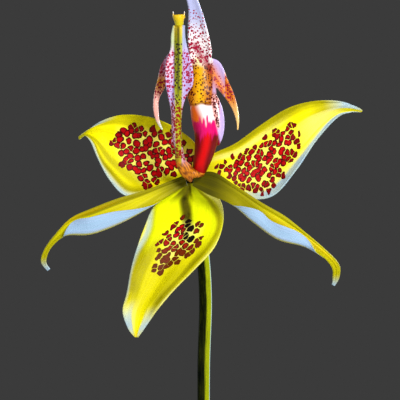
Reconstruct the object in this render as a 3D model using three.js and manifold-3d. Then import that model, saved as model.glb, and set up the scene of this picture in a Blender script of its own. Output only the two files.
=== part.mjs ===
// A potted embreea orchid with one open flower, in millimetres, +Z up. The origin is the middle
// of the pot's underside, and the flower faces -Y. The flower stem, the pseudobulbs and their
// leaves stand in a plain clay pot of bark.
import * as THREE from "three";
import { mergeVertices } from "three/addons/utils/BufferGeometryUtils.js";
import Module from "manifold-3d";

const wasm = await Module();
wasm.setup();

// Driving dimensions.
const POT_HEIGHT = 108;
const POT_RIM_RADIUS = 65;
const POT_RIM_BAND = 26;
const POT_BASE_RADIUS = 43;
const POT_WALL = 5.5;
const POT_FLOOR = 9;
const DRAIN_RADIUS = 5;
const DRAIN_CIRCLE = 22;
const BARK_LEVEL = 92;
const FLOWER_HEIGHT = 345;
const STEM_RADIUS = 2.35;
const SEPAL_THICKNESS = 1.1;
const PETAL_THICKNESS = 0.9;
const LIP_THICKNESS = 1.1;
const LEAF_THICKNESS = 0.9;
const GAP = 0.3;

const material = (color, roughness) =>
  new THREE.MeshStandardMaterial({ color, roughness, metalness: 0 });
const SEPAL = material(0xd8d21e, 0.45);
const PETAL = material(0xc4b81c, 0.45);
const LIP = material(0xd8466a, 0.35);
const COLUMN = material(0xb9c24a, 0.4);
const ANTHER = material(0xf0c414, 0.4);
const STEM = material(0x8aa01c, 0.45);
const SHEATH = material(0x9a8a58, 0.7);
const BULB = material(0x6f8f35, 0.5);
const LEAF = material(0x3f7a2a, 0.5);
const ROOT = material(0xc9c3a8, 0.8);
const BARK = material(0x5b3a24, 0.95);
const CLAY = material(0xb4623c, 0.9);

// Curves and closed shapes.
const UP = new THREE.Vector3(0, 0, 1);
const VIEWER = new THREE.Vector3(0, -1, 0);
const degrees = THREE.MathUtils.degToRad;
const smoothstep = THREE.MathUtils.smoothstep;

function catmullRom(a, b, c, d, s) {
  const line = c - a;
  const square = 2 * a - 5 * b + 4 * c - d;
  const cube = 3 * b - a - 3 * c + d;
  return b + 0.5 * s * (line + s * (square + s * cube));
}

// The value at t, from 0 to 1, of a smooth curve through evenly spaced numbers or points.
function along(list, t) {
  const last = list.length - 1;
  const place = Math.min(Math.max(t, 0) * last, last - 1e-9);
  const i = Math.floor(place);
  const pick = (k) => list[Math.min(Math.max(k, 0), last)];
  const [a, b, c, d] = [pick(i - 1), pick(i), pick(i + 1), pick(i + 2)];
  if (typeof b === "number") return catmullRom(a, b, c, d, place - i);
  return b.map((_, k) => catmullRom(a[k], b[k], c[k], d[k], place - i));
}

// A closed solid from a three.js geometry.
function solidOf(geometry) {
  const plain = geometry.clone();
  for (const name of ["normal", "uv"]) plain.deleteAttribute(name);
  const merged = mergeVertices(plain, 1e-4);
  return new wasm.Manifold(
    new wasm.Mesh({
      numProp: 3,
      vertProperties: merged.attributes.position.array,
      triVerts: new Uint32Array(merged.index.array),
    }),
  );
}

function geometryOf(solid) {
  const mesh = solid.getMesh();
  const position = new THREE.BufferAttribute(mesh.vertProperties, 3);
  return new THREE.BufferGeometry()
    .setAttribute("position", position)
    .setIndex(new THREE.BufferAttribute(mesh.triVerts, 1));
}

// The largest body of a solid, without the scraps that a cut leaves.
function mainBody(solid) {
  return solid.decompose().sort((a, b) => b.volume() - a.volume())[0];
}

function indexed(points, faces) {
  const position = new THREE.Float32BufferAttribute(points.flatMap((p) => [p.x, p.y, p.z]), 3);
  return new THREE.BufferGeometry().setAttribute("position", position).setIndex(faces);
}

// A closed skin over rings of points, each ring counter-clockwise seen from the last one.
function loft(rings) {
  const sides = rings[0].length;
  const points = rings.flat();
  const faces = [];
  for (let i = 0; i + 1 < rings.length; i++) {
    for (let k = 0; k < sides; k++) {
      const next = (k + 1) % sides;
      const [a, b] = [i * sides + k, i * sides + next];
      faces.push(a, b, b + sides, a, b + sides, a + sides);
    }
  }
  for (const [ring, turn] of [[0, 1], [rings.length - 1, 0]]) {
    const centre = new THREE.Vector3();
    for (const p of rings[ring]) centre.addScaledVector(p, 1 / sides);
    const hub = points.push(centre) - 1;
    for (let k = 0; k < sides; k++) {
      const edge = [ring * sides + k, ring * sides + ((k + 1) % sides)];
      if (turn) edge.reverse();
      faces.push(hub, ...edge);
    }
  }
  return indexed(points, faces);
}

// A body of oval section along a path: wide and deep are its half sizes across and towards front.
function sweep({ path, wide, deep, front = VIEWER, sides = 8, steps = 10, grow = 0, angled = 0 }) {
  const rings = [];
  for (let i = 0; i <= steps; i++) {
    const t = i / steps;
    const [before, after] = [along(path, t - 0.01), along(path, t + 0.01)];
    const run = new THREE.Vector3(...after).sub(new THREE.Vector3(...before)).normalize();
    const side = new THREE.Vector3().crossVectors(front, run).normalize();
    const out = new THREE.Vector3().crossVectors(run, side);
    const ring = [];
    for (let k = 0; k < sides; k++) {
      const angle = (2 * Math.PI * (k + 0.5)) / sides;
      const ridge = 1 + angled * Math.cos(4 * angle);
      ring.push(
        new THREE.Vector3(...along(path, t))
          .addScaledVector(side, (along(wide, t) * ridge + grow) * Math.cos(angle))
          .addScaledVector(out, (along(deep, t) * ridge + grow) * Math.sin(angle)),
      );
    }
    rings.push(ring);
  }
  return loft(rings);
}

// Half of a blade's section, from the midrib outwards, as [across, forwards] pairs in half widths.
// It leans forwards by cup over its width, then turns by curl round the edge and runs back over
// the face for fold half widths. Its widest place is always 1 across.
const EDGE_TURN = 0.3;
const SECTION_STEPS = 60;
function halfSection(cup, curl, fold, stops) {
  const reach = 1 + fold;
  const walk = [[0, 0]];
  let widest = 0;
  for (let i = 1; i <= SECTION_STEPS; i++) {
    const s = (reach * (i - 0.5)) / SECTION_STEPS;
    const angle = degrees(cup * s + curl * smoothstep(s, 1 - EDGE_TURN, 1 + EDGE_TURN));
    const [x, y] = walk[i - 1];
    const step = reach / SECTION_STEPS;
    walk.push([x + step * Math.cos(angle), y + step * Math.sin(angle)]);
    widest = Math.max(widest, walk[i][0]);
  }
  return stops.map((s) => {
    const place = Math.min((s / reach) * SECTION_STEPS, SECTION_STEPS - 1e-9);
    const i = Math.floor(place);
    const mix = (k) => walk[i][k] + (walk[i + 1][k] - walk[i][k]) * (place - i);
    return [mix(0) / widest, mix(1) / widest];
  });
}

// The places across half a blade where its section is taken, closer together at a folded edge.
const PLAIN_STOPS = [0.25, 0.5, 0.75, 1];
const FLAT_STOPS = [0.35, 0.7, 0.86, 1];
const FOLD_STOPS = [0.13, 0.28, 0.6, 1];
const LOBE_STOPS = [0.5, 1];
const LEAST_FOLD = 0.02;

// One row of a blade's middle surface at t. edges(t) gives the midrib, the way to each edge and the
// way forwards.
function bladeRow(spec, t) {
  const { mid, toA, toB, front } = spec.edges(t);
  const row = [];
  for (const [way, edge] of [[toA, "A"], [toB, "B"]]) {
    const folds = spec["fold" + edge];
    const fold = folds ? Math.max(along(folds, t), LEAST_FOLD) : 0;
    const stops = spec.stops ?? (folds ? [...FLAT_STOPS, ...FOLD_STOPS.map((f) => 1 + fold * f)] : PLAIN_STOPS);
    const curl = along(spec["curl" + edge] ?? [0, 0], t);
    const half = halfSection(along(spec.cup, t), curl, fold, stops);
    const points = half.map(([across, forwards]) =>
      mid.clone().addScaledVector(way, across).addScaledVector(front, forwards * way.length()),
    );
    if (edge === "A") row.push(...points.reverse(), mid);
    else row.push(...points);
  }
  return spec.shape ? row.map((p, k) => spec.shape(p, t, k / (row.length - 1), front)) : row;
}

// A closed blade: its middle surface, thickened to both sides.
function blade(spec, grow = 0) {
  const rows = [];
  for (let i = 0; i <= spec.steps; i++) rows.push(bladeRow(spec, i / spec.steps));
  const columns = rows[0].length;
  const at = (i, k) =>
    rows[Math.min(Math.max(i, 0), spec.steps)][Math.min(Math.max(k, 0), columns - 1)];
  const faceA = [];
  const faceB = [];
  rows.forEach((row, i) =>
    row.forEach((p, k) => {
      const lengthwise = at(i + 1, k).clone().sub(at(i - 1, k));
      const across = at(i, k + 1).clone().sub(at(i, k - 1));
      const normal = new THREE.Vector3().crossVectors(across, lengthwise).normalize();
      const half = spec.thickness / 2 + grow;
      faceA.push(p.clone().addScaledVector(normal, half));
      faceB.push(p.clone().addScaledVector(normal, -half));
    }),
  );
  const points = [...faceA, ...faceB];
  const back = faceA.length;
  const faces = [];
  const quad = (a, b, c, d) => faces.push(a, b, c, a, c, d);
  for (let i = 0; i < spec.steps; i++) {
    for (let k = 0; k + 1 < columns; k++) {
      const [a, b] = [i * columns + k, i * columns + k + 1];
      quad(a, b, b + columns, a + columns);
      const [c, d] = [a + back, b + back];
      faces.push(c, d + columns, d, c, c + columns, d + columns);
    }
  }
  const wall = (a, b) => quad(b, a, a + back, b + back);
  for (let i = 0; i < spec.steps; i++) {
    wall((i + 1) * columns, i * columns);
    wall(i * columns + columns - 1, (i + 1) * columns + columns - 1);
  }
  for (let k = 0; k + 1 < columns; k++) {
    wall(k, k + 1);
    wall(spec.steps * columns + k + 1, spec.steps * columns + k);
  }
  return indexed(points, faces);
}

// The edges of a flower blade, from its two outlines seen from the front. An outline point is
// [right of the flower's middle, above it], and depth is how far the midrib lies behind the middle.
function faceOn({ outlineA, outlineB, depth, rib = 0.5 }) {
  return (t) => {
    const [ax, az] = along(outlineA, t);
    const [bx, bz] = along(outlineB, t);
    const mid = new THREE.Vector3(ax + (bx - ax) * rib, along(depth, t), az + (bz - az) * rib);
    const toA = new THREE.Vector3(ax - mid.x, 0, az - mid.z);
    const toB = new THREE.Vector3(bx - mid.x, 0, bz - mid.z);
    return { mid, toA, toB, front: VIEWER };
  };
}

// Flower, round its own middle.
const dorsalSepal = {
  edges: faceOn({
    outlineA: [[-1.5, -2], [-7, -6], [-13.5, -10.5], [-17.5, -19], [-20.5, -27.5], [-22.5, -35],
      [-24, -43.5], [-25.5, -50.5], [-23.5, -57], [-20.8, -60.3]],
    outlineB: [[1, -2], [6.5, -5.5], [11.5, -8.5], [12.7, -16.5], [9.5, -26], [2, -34.5],
      [-6.5, -43], [-12, -49.5], [-16.5, -56], [-19.8, -60.3]],
    depth: [1.8, 3, 5, 6.5, 6, 4, 1.5, -1, -3, -4],
    rib: 0.52,
  }),
  cup: [5, 25, 40, 45, 40, 40, 35, 30, 20, 10],
  thickness: SEPAL_THICKNESS,
  steps: 18,
};

const lateralSepalLeft = {
  edges: faceOn({
    outlineA: [[2.8, 5], [2.7, 12], [-3, 17.5], [-11.4, 22], [-19.8, 24], [-27.4, 24],
      [-34.2, 21.7], [-39.6, 18.3], [-43, 16]],
    outlineB: [[-1.5, 0], [-9, -2], [-17, -6], [-25, -6.5], [-31.2, 0], [-35, 6.8],
      [-37.6, 12.9], [-40.3, 16.3], [-42.8, 15]],
    depth: [1.8, 4, 6.5, 8, 8.5, 8.5, 9, 11, 14],
  }),
  cup: [5, 25, 40, 45, 40, 35, 35, 25, 10],
  thickness: SEPAL_THICKNESS,
  steps: 16,
};

const lateralSepalRight = {
  edges: faceOn({
    outlineA: [[4.5, 4.5], [8.4, 9], [17.5, 13.3], [27.4, 20.5], [37.2, 26.6], [46.4, 29.3],
      [55, 29.6], [61.6, 28.5], [66.5, 26.4]],
    outlineB: [[2, 0.5], [11.5, -3], [21, -7.5], [31.5, -6.8], [40.7, 3.4], [48.3, 14.5],
      [56, 23], [61.6, 25.3], [66.2, 25.6]],
    depth: [1.8, 4, 6.5, 8, 8.5, 9, 10, 12, 15],
  }),
  cup: [5, 25, 40, 45, 40, 35, 35, 25, 10],
  curlA: [0, 0, 0, 0, 0, 60, 110, 60, 0],
  curlB: [0, 0, 0, 40, 110, 120, 100, 60, 0],
  foldB: [0, 0, 0, 0.1, 0.2, 0.25, 0.3, 0.2, 0],
  thickness: SEPAL_THICKNESS,
  steps: 16,
};

const petalLeft = {
  edges: faceOn({
    outlineA: [[-2, 1], [-9.5, -2], [-18, -5], [-27.4, -7.8], [-37.3, -11.6], [-44.5, -15],
      [-50, -20.5], [-54.8, -26.8], [-56.4, -31.7], [-54, -35.2]],
    outlineB: [[-1, -2.8], [-7, -6], [-15.2, -11], [-25.8, -16.8], [-36.8, -21], [-45.6, -21.4],
      [-48.6, -22.8], [-52.9, -26.8], [-54.7, -31.5], [-53.4, -34.7]],
    depth: [-0.5, -2.5, -5, -7, -8, -8, -7, -4, -1, 0.5],
    rib: 0.3,
  }),
  cup: [0, 10, 15, 15, 15, 15, 10, 5, 0, 0],
  curlB: [0, 30, 110, 145, 152, 150, 90, 20, 0, 0],
  foldB: [0, 0.05, 0.35, 0.85, 1.05, 0.9, 0.35, 0.05, 0, 0],
  thickness: PETAL_THICKNESS,
  steps: 20,
};

const petalRight = {
  edges: faceOn({
    outlineA: [[1.6, 1.6], [9, 2.2], [17.5, -3], [27.4, -9.5], [36, -14.5], [44, -21],
      [51.3, -27.4], [56.2, -32.7], [56.4, -37.6], [54.6, -40.9]],
    outlineB: [[1, -3], [7, -6.4], [16, -10], [24, -16.7], [33, -23], [43, -25.7],
      [49.8, -29.6], [53.6, -33.8], [54.1, -37.6], [54, -40.5]],
    depth: [-0.5, -2.5, -5, -7, -8, -8, -7, -5, -3, -2],
    rib: 0.3,
  }),
  cup: [0, 10, 15, 15, 15, 15, 10, 5, 0, 0],
  curlB: [0, 0, 60, 140, 152, 150, 90, 20, 0, 0],
  foldB: [0, 0.02, 0.15, 0.7, 1.05, 0.85, 0.35, 0.05, 0, 0],
  thickness: PETAL_THICKNESS,
  steps: 20,
};

// The lip: a fleshy sac below, a broad saddle above it with a horned lobe to each side and a keel
// on the right, and a long pointed blade.
const lipSac = {
  path: [[3, -4, 0.8], [4, -5.5, 4.5], [5.6, -7.5, 10.5], [6.4, -9, 16.5], [6, -9.5, 22], [5, -9.5, 28.5]],
  wide: [2, 3, 3.9, 4.7, 5.4, 5.2],
  deep: [1.6, 3, 3.8, 4.4, 4.6, 4],
  sides: 12,
  steps: 12,
};
const lipSaddle = {
  path: [[5, -10, 25], [4.4, -9.5, 32], [4.2, -9, 38], [3.8, -9, 44], [3, -9, 50]],
  wide: [4.2, 5.6, 4.2, 3.4, 2],
  deep: [2.5, 3.2, 2.6, 1.8, 0.8],
  sides: 10,
  steps: 8,
};
const lipPoint = {
  edges: faceOn({
    outlineA: [[0.5, 42], [-0.4, 47], [-0.8, 52.5], [-0.6, 58], [-0.5, 63], [-1.8, 68], [-4.6, 72.5], [-7.4, 75.6]],
    outlineB: [[7.5, 41], [8.2, 46.5], [7.4, 52], [5.8, 58], [4, 63.5], [1.8, 68.5], [-2, 73.8], [-6.6, 76.4]],
    depth: [-9, -9.5, -10.5, -12, -14, -16.5, -19, -21],
  }),
  cup: [40, 45, 45, 45, 40, 35, 20, 0],
  thickness: LIP_THICKNESS,
  stops: LOBE_STOPS,
  steps: 10,
};
const hornRight = {
  edges: faceOn({
    outlineA: [[6, 45.5], [10.5, 44.2], [12.5, 41.2], [14, 37], [16, 32.5], [17.6, 27], [18.4, 22], [18.2, 17.8]],
    outlineB: [[4, 40], [8, 36.5], [10.5, 33.5], [13, 30.5], [15, 27.5], [16.6, 24], [17.5, 20.5], [17.7, 17.6]],
    depth: [-9, -8.5, -8, -8, -9, -10.5, -12, -12.5],
  }),
  cup: [10, 20, 30, 30, 30, 20, 10, 0],
  thickness: LIP_THICKNESS,
  stops: LOBE_STOPS,
  steps: 10,
};
const hornLeft = {
  edges: faceOn({
    outlineA: [[1, 46], [-6.8, 47.5], [-10.5, 43], [-12, 37], [-13.4, 31], [-13.7, 25.5], [-12.6, 21], [-10.5, 17.8]],
    outlineB: [[3.5, 40], [-2.5, 40], [-7.5, 37], [-10.3, 32.5], [-11.8, 29], [-11.8, 25], [-11.4, 21.5], [-10.1, 18]],
    depth: [-8.5, -8, -8, -8.5, -9.5, -10.5, -11.5, -12],
  }),
  cup: [10, 20, 30, 30, 30, 20, 10, 0],
  thickness: LIP_THICKNESS,
  stops: LOBE_STOPS,
  steps: 10,
};
const lipKeel = {
  edges: faceOn({
    outlineA: [[10, 31.5], [12, 27], [13, 22], [12.7, 16.5], [11, 12]],
    outlineB: [[8.5, 30], [8.8, 26], [9, 22], [8.8, 17], [8.5, 12.5]],
    depth: [-8, -7.5, -7, -7, -7],
  }),
  cup: [0, 10, 10, 10, 0],
  thickness: LIP_THICKNESS,
  stops: LOBE_STOPS,
  steps: 6,
};

// The column: a long arched body with a flange down each side and the anther cap on its end.
const columnBody = {
  path: [[-0.9, -5.5, 0.8], [-3.2, -9, 6.5], [-4.7, -12, 14], [-5, -14, 22], [-4.8, -15.5, 29.5],
    [-4.2, -16.5, 37], [-3.9, -17, 45], [-3.7, -17, 52.5], [-3.8, -17, 57]],
  wide: [1.6, 1.5, 1.6, 1.7, 1.8, 1.7, 1.9, 1.9, 1.8],
  deep: [1.3, 1.4, 1.5, 1.6, 1.8, 1.8, 2, 2, 2],
  sides: 8,
  steps: 16,
};
const columnFlanges = {
  edges: faceOn({
    outlineA: [[-7, 12], [-7, 24], [-8.4, 31], [-9.2, 36], [-9, 43], [-7.2, 48], [-7, 53], [-6.2, 57]],
    outlineB: [[-3, 12], [-3, 24], [-1, 31], [1.2, 34.5], [1.2, 40], [-0.8, 48], [-1.7, 53], [-1.8, 57]],
    depth: [-11, -13.6, -15, -15.6, -16, -16.2, -16.4, -16.4],
  }),
  cup: [10, 20, 30, 35, 35, 30, 25, 20],
  thickness: LIP_THICKNESS,
  stops: LOBE_STOPS,
  steps: 12,
};
const antherCap = {
  path: [[-3.9, -17, 57.4], [-4, -17.4, 59], [-4.2, -17.8, 61], [-4.3, -17.6, 62.3]],
  wide: [1.9, 2.3, 2.4, 1.8],
  deep: [1.8, 2.4, 2.4, 1.4],
  sides: 10,
  steps: 5,
};

// The stem rises beside the pseudobulbs and bends forwards to the flower's back.
const stemPath = [
  [8, 15, 86.5], [8.6, 16.5, 122], [8, 18, 162], [6.6, 19, 202], [5.4, 19.5, 242], [5.2, 19, 272],
  [5.9, 17.5, 298], [4.6, 14.5, 318], [2, 9.5, 334], [0.4, 3.9, FLOWER_HEIGHT - 0.6],
];
const flowerStem = {
  path: stemPath,
  wide: [2.8, 2.5, 2.4, STEM_RADIUS, STEM_RADIUS, STEM_RADIUS, STEM_RADIUS, 2.4, 2.6, 2.2],
  deep: [2.8, 2.5, 2.4, STEM_RADIUS, STEM_RADIUS, STEM_RADIUS, STEM_RADIUS, 2.4, 2.6, 2.2],
  front: new THREE.Vector3(1, 0, 0),
  sides: 8,
  steps: 27,
};

// Plant.
// Each pseudobulb stands at [x, y], and its leaf bows out in the direction of heading.
const BULB_HEIGHT = 46;
const BULB_RADIUS = 13.5;
const BULB_NECK = 4.6;
const BULB_FOOT = BARK_LEVEL - 3;
const PLANTS = [
  { name: "left", x: -30, y: 4, heading: 196, scale: 0.9, length: 188, lean: -5 },
  { name: "middle", x: -6, y: 27, heading: 118, scale: 1, length: 205, lean: -2 },
  { name: "right", x: 27, y: 8, heading: -12, scale: 1.05, length: 212, lean: 5 },
];

function bulbSweep({ x, y, scale, lean }) {
  const height = BULB_HEIGHT * scale;
  const level = (share) => [x + lean * share * share, y, BULB_FOOT + height * share];
  return {
    path: [0, 0.2, 0.4, 0.6, 0.8, 1].map(level),
    wide: [0.6, 0.95, 1, 0.86, 0.6, BULB_NECK / BULB_RADIUS].map((r) => r * BULB_RADIUS * scale),
    deep: [0.6, 0.9, 0.92, 0.78, 0.55, BULB_NECK / BULB_RADIUS].map((r) => r * BULB_RADIUS * scale),
    front: VIEWER,
    sides: 12,
    steps: 8,
    angled: 0.07,
  };
}

// A leaf: a stalk that rises from the neck, and a pleated blade that bows out and down.
const LEAF_WIDTH = 56;
const STALK_LENGTH = 34;
const STALK_RADIUS = 2.6;
const PLEATS = 5;
const PLEAT_DEPTH = 2.2;
function leafCurve(plant) {
  const { heading, length } = plant;
  const neck = bulbSweep(plant).path;
  const top = new THREE.Vector3(...neck.at(-1));
  const run = new THREE.Vector3(...along(neck, 0.99)).sub(top).negate().normalize();
  const foot = top.addScaledVector(run, GAP);
  const away = new THREE.Vector3(Math.cos(degrees(heading)), Math.sin(degrees(heading)), 0);
  const spot = (out, up) => foot.clone().addScaledVector(away, out).addScaledVector(UP, up).toArray();
  const reach = length - STALK_LENGTH;
  const bow = [[0.07, 0.17], [0.21, 0.29], [0.4, 0.36], [0.6, 0.32], [0.78, 0.18], [0.92, -0.04]];
  const rib = bow.map(([out, up]) => spot(out * reach, up * reach + 4));
  const rise = foot.clone().addScaledVector(run, STALK_LENGTH / 3).toArray();
  const stalk = [foot.toArray(), rise, spot(5, (STALK_LENGTH * 2) / 3), rib[0], along(rib, 0.08)];
  return { away, stalk, rib };
}

function leafSolid(plant) {
  const { away, stalk, rib } = leafCurve(plant);
  const side = new THREE.Vector3().crossVectors(away, UP).normalize();
  const halfWidth = [0.06, 0.5, 0.92, 1, 0.74, 0.02].map((w) => (w * LEAF_WIDTH * plant.scale) / 2);
  const spec = {
    edges: (t) => {
      const mid = new THREE.Vector3(...along(rib, t));
      const run = new THREE.Vector3(...along(rib, t + 0.01)).sub(new THREE.Vector3(...along(rib, t - 0.01)));
      const front = new THREE.Vector3().crossVectors(side, run).normalize();
      const half = Math.max(along(halfWidth, t), 0.8);
      return { mid, toA: side.clone().multiplyScalar(-half), toB: side.clone().multiplyScalar(half), front };
    },
    stops: [0.2, 0.4, 0.6, 0.8, 1],
    cup: [30, 25, 20, 15, 15, 10],
    shape: (p, t, k, front) => {
      const swell = Math.min(along(halfWidth, t) / (LEAF_WIDTH / 4), 1);
      return p.clone().addScaledVector(front, PLEAT_DEPTH * swell * -Math.cos(2 * Math.PI * PLEATS * k) / 2);
    },
    thickness: LEAF_THICKNESS,
    steps: 13,
  };
  const stem = sweep({
    path: stalk,
    wide: [STALK_RADIUS + 1, STALK_RADIUS, STALK_RADIUS, STALK_RADIUS, STALK_RADIUS * 0.5],
    deep: [STALK_RADIUS + 1, STALK_RADIUS, STALK_RADIUS, STALK_RADIUS * 0.8, STALK_RADIUS * 0.4],
    front: away,
    steps: 6,
  });
  return mainBody(solidOf(blade(spec)).add(solidOf(stem)));
}

// The creeping rhizome under the pseudobulbs, and the roots that leave it and run over the bark.
const RHIZOME_LEVEL = 81.5;
const RHIZOME_RADIUS = 4.2;
const ROOT_RADIUS = 1.5;
const rhizome = {
  path: [[-38, -2], [-30, 4], [-18, 18], [-6, 27], [12, 22], [27, 8], [34, 2]].map(([x, y]) => [x, y, RHIZOME_LEVEL]),
  wide: [2, RHIZOME_RADIUS, RHIZOME_RADIUS, RHIZOME_RADIUS, RHIZOME_RADIUS, RHIZOME_RADIUS, 2],
  deep: [2, RHIZOME_RADIUS, RHIZOME_RADIUS, RHIZOME_RADIUS, RHIZOME_RADIUS, RHIZOME_RADIUS, 2],
  front: UP,
  sides: 6,
  steps: 8,
};
const ROOTS = [
  [[-16, 16, 82], [-14, 9, 92], [-11, -6, 97], [-16, -22, 96.5], [-26, -33, 95], [-31, -38, 84]],
  [[18, 16, 82], [15, 3, 91], [10, -10, 97], [12, -26, 96.5], [20, -38, 95], [22, -46, 84]],
  [[-34, 0, 82], [-42, -8, 92], [-41, -18, 96], [-38, -25, 95], [-40, -29, 84]],
  [[28, 6, 82], [38, -6, 92], [42, -16, 96.5], [38, -27, 95], [40, -32, 84]],
  [[2, 26, 82], [10, 33, 92], [17, 40, 96], [10, 47, 95], [2, 49, 84]],
].map((path) => ({ path, wide: [2, ROOT_RADIUS], deep: [2, ROOT_RADIUS], front: UP, sides: 5, steps: 9 }));

// Two papery sheaths round the stem, each open above in a slanting mouth.
const SHEATH_WALL = 1;
const SHEATHS = [
  { name: "lower", from: 0.14, to: 0.3, slant: 38 },
  { name: "upper", from: 0.34, to: 0.47, slant: -38 },
];
function sheathSolid({ from, to, slant }) {
  const share = (k) => from + ((to - from) * k) / 6;
  const path = [0, 1, 2, 3, 4, 5, 6].map((k) => along(stemPath, share(k)));
  const radius = [0, 1, 2, 3, 4, 5, 6].map((k) => along(flowerStem.wide, share(k)) + GAP + SHEATH_WALL * (1 + k / 8));
  radius[0] -= SHEATH_WALL * 0.3;
  const sleeve = solidOf(sweep({ ...flowerStem, path, wide: radius, deep: radius, steps: 4 }));
  const knife = new THREE.BoxGeometry(40, 40, 40)
    .translate(0, 0, 20)
    .rotateY(degrees(slant))
    .translate(...along(stemPath, from + (to - from) * 0.8));
  return mainBody(sleeve.subtract(stemHole).subtract(solidOf(knife)));
}

// Pot and bark.
const potOuter = (z) => POT_BASE_RADIUS + ((POT_RIM_RADIUS - 5 - POT_BASE_RADIUS) * z) / (POT_HEIGHT - POT_RIM_BAND);
const potInner = (z) => potOuter(Math.min(z, POT_HEIGHT)) - POT_WALL;
const turned = (profile, sides) =>
  new THREE.LatheGeometry(profile.map(([r, z]) => new THREE.Vector2(r, z)), sides).rotateX(Math.PI / 2);
const POT_SIDES = 36;

function potSolid() {
  const rimFoot = POT_HEIGHT - POT_RIM_BAND;
  const inner = potInner(POT_HEIGHT);
  const profile = [
    [0, 0], [POT_BASE_RADIUS - 1, 0], [POT_BASE_RADIUS, 1], [potOuter(rimFoot), rimFoot],
    [POT_RIM_RADIUS - 2.5, rimFoot + 1], [POT_RIM_RADIUS - 1.6, rimFoot + 3], [POT_RIM_RADIUS, POT_HEIGHT - 3],
    [POT_RIM_RADIUS - 1.5, POT_HEIGHT], [inner + 1.5, POT_HEIGHT], [inner, POT_HEIGHT - 2],
    [potInner(POT_FLOOR), POT_FLOOR], [0, POT_FLOOR],
  ];
  let pot = solidOf(turned(profile, POT_SIDES));
  for (let k = 0; k < 4; k++) {
    const angle = degrees(45 + 90 * k);
    const drain = new THREE.CylinderGeometry(DRAIN_RADIUS, DRAIN_RADIUS, 4 * POT_FLOOR, 12)
      .rotateX(Math.PI / 2)
      .translate(DRAIN_CIRCLE * Math.cos(angle), DRAIN_CIRCLE * Math.sin(angle), 0);
    pot = pot.subtract(solidOf(drain));
  }
  return pot;
}

// Numbers from 0 to 1 that are the same every time.
function seeded(seed) {
  let state = seed;
  return () => {
    state = (state * 1664525 + 1013904223) % 4294967296;
    return state / 4294967296;
  };
}

const CHIPS = 42;
const GOLDEN_TURN = Math.PI * (3 - Math.sqrt(5));
function barkSolid(holes) {
  const random = seeded(11);
  const floor = POT_FLOOR + GAP;
  let bark = solidOf(turned(
    [[0, floor], [potInner(floor) - 2 * GAP, floor], [potInner(BARK_LEVEL) - 2 * GAP, BARK_LEVEL], [0, BARK_LEVEL]],
    POT_SIDES,
  ));
  const inside = solidOf(turned(
    [[0, floor], [potInner(floor) - 2 * GAP, floor], [potInner(POT_HEIGHT) - 2 * GAP, POT_HEIGHT], [0, POT_HEIGHT]],
    POT_SIDES,
  ));
  const reach = potInner(BARK_LEVEL) - 7;
  for (let i = 0; i < CHIPS; i++) {
    const [long, broad, thick] = [13 + 8 * random(), 9 + 4 * random(), 5 + 3 * random()];
    const r = reach * Math.sqrt((i + 0.5) / CHIPS);
    const chip = new THREE.BoxGeometry(long, broad, thick)
      .rotateX((random() - 0.5) * 0.7)
      .rotateY((random() - 0.5) * 0.7)
      .rotateZ(random() * Math.PI)
      .translate(r * Math.cos(i * GOLDEN_TURN), r * Math.sin(i * GOLDEN_TURN), BARK_LEVEL + random() * 1.5);
    bark = bark.add(solidOf(chip));
  }
  for (const hole of holes) bark = bark.subtract(hole);
  return mainBody(bark.intersect(inside));
}

// The pieces.
const plant = new THREE.Group();
const flower = new THREE.Group();
flower.position.z = FLOWER_HEIGHT;
plant.add(flower);

function addPiece(parent, name, shape, look) {
  const geometry = shape.isBufferGeometry ? shape : geometryOf(shape);
  const piece = new THREE.Mesh(geometry, look);
  piece.name = name;
  parent.add(piece);
}

const stemHole = solidOf(sweep({ ...flowerStem, grow: GAP }));
addPiece(flower, "dorsal_sepal", blade(dorsalSepal), SEPAL);
addPiece(flower, "lateral_sepal_left", blade(lateralSepalLeft), SEPAL);
addPiece(flower, "lateral_sepal_right", blade(lateralSepalRight), SEPAL);
addPiece(flower, "petal_left", blade(petalLeft), PETAL);
addPiece(flower, "petal_right", blade(petalRight), PETAL);

const lip = [lipPoint, hornRight, hornLeft, lipKeel].reduce(
  (whole, lobe) => whole.add(solidOf(blade(lobe))),
  solidOf(sweep(lipSac)).add(solidOf(sweep(lipSaddle))),
);
const column = solidOf(sweep(columnBody)).add(solidOf(blade(columnFlanges)));
addPiece(flower, "lip", lip, LIP);
addPiece(flower, "column", column, COLUMN);
addPiece(flower, "anther_cap", sweep(antherCap), ANTHER);

addPiece(plant, "flower_stem", sweep(flowerStem), STEM);
for (const sheath of SHEATHS) addPiece(plant, "stem_sheath_" + sheath.name, sheathSolid(sheath), SHEATH);
for (const bulb of PLANTS) {
  addPiece(plant, "pseudobulb_" + bulb.name, sweep(bulbSweep(bulb)), BULB);
  addPiece(plant, "leaf_" + bulb.name, leafSolid(bulb), LEAF);
}
const rootSolid = (grow) =>
  ROOTS.reduce((whole, root) => whole.add(solidOf(sweep({ ...root, grow }))), solidOf(sweep({ ...rhizome, grow })));
addPiece(plant, "rhizome_and_roots", rootSolid(0), ROOT);

const holes = [stemHole, rootSolid(GAP), ...PLANTS.map((bulb) => solidOf(sweep({ ...bulbSweep(bulb), grow: GAP })))];
addPiece(plant, "bark_mix", barkSolid(holes), BARK);
addPiece(plant, "pot", potSolid(), CLAY);

export default plant;
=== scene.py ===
"""A potted orchid: one open flower on an upright stem, pleated leaves on ribbed pseudobulbs, and a
clay pot of bark. Lengths in the lists are millimetres, and every piece is scaled to metres once."""
import math
import random

import bmesh
import bpy
from mathutils import Matrix, Vector, noise


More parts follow.
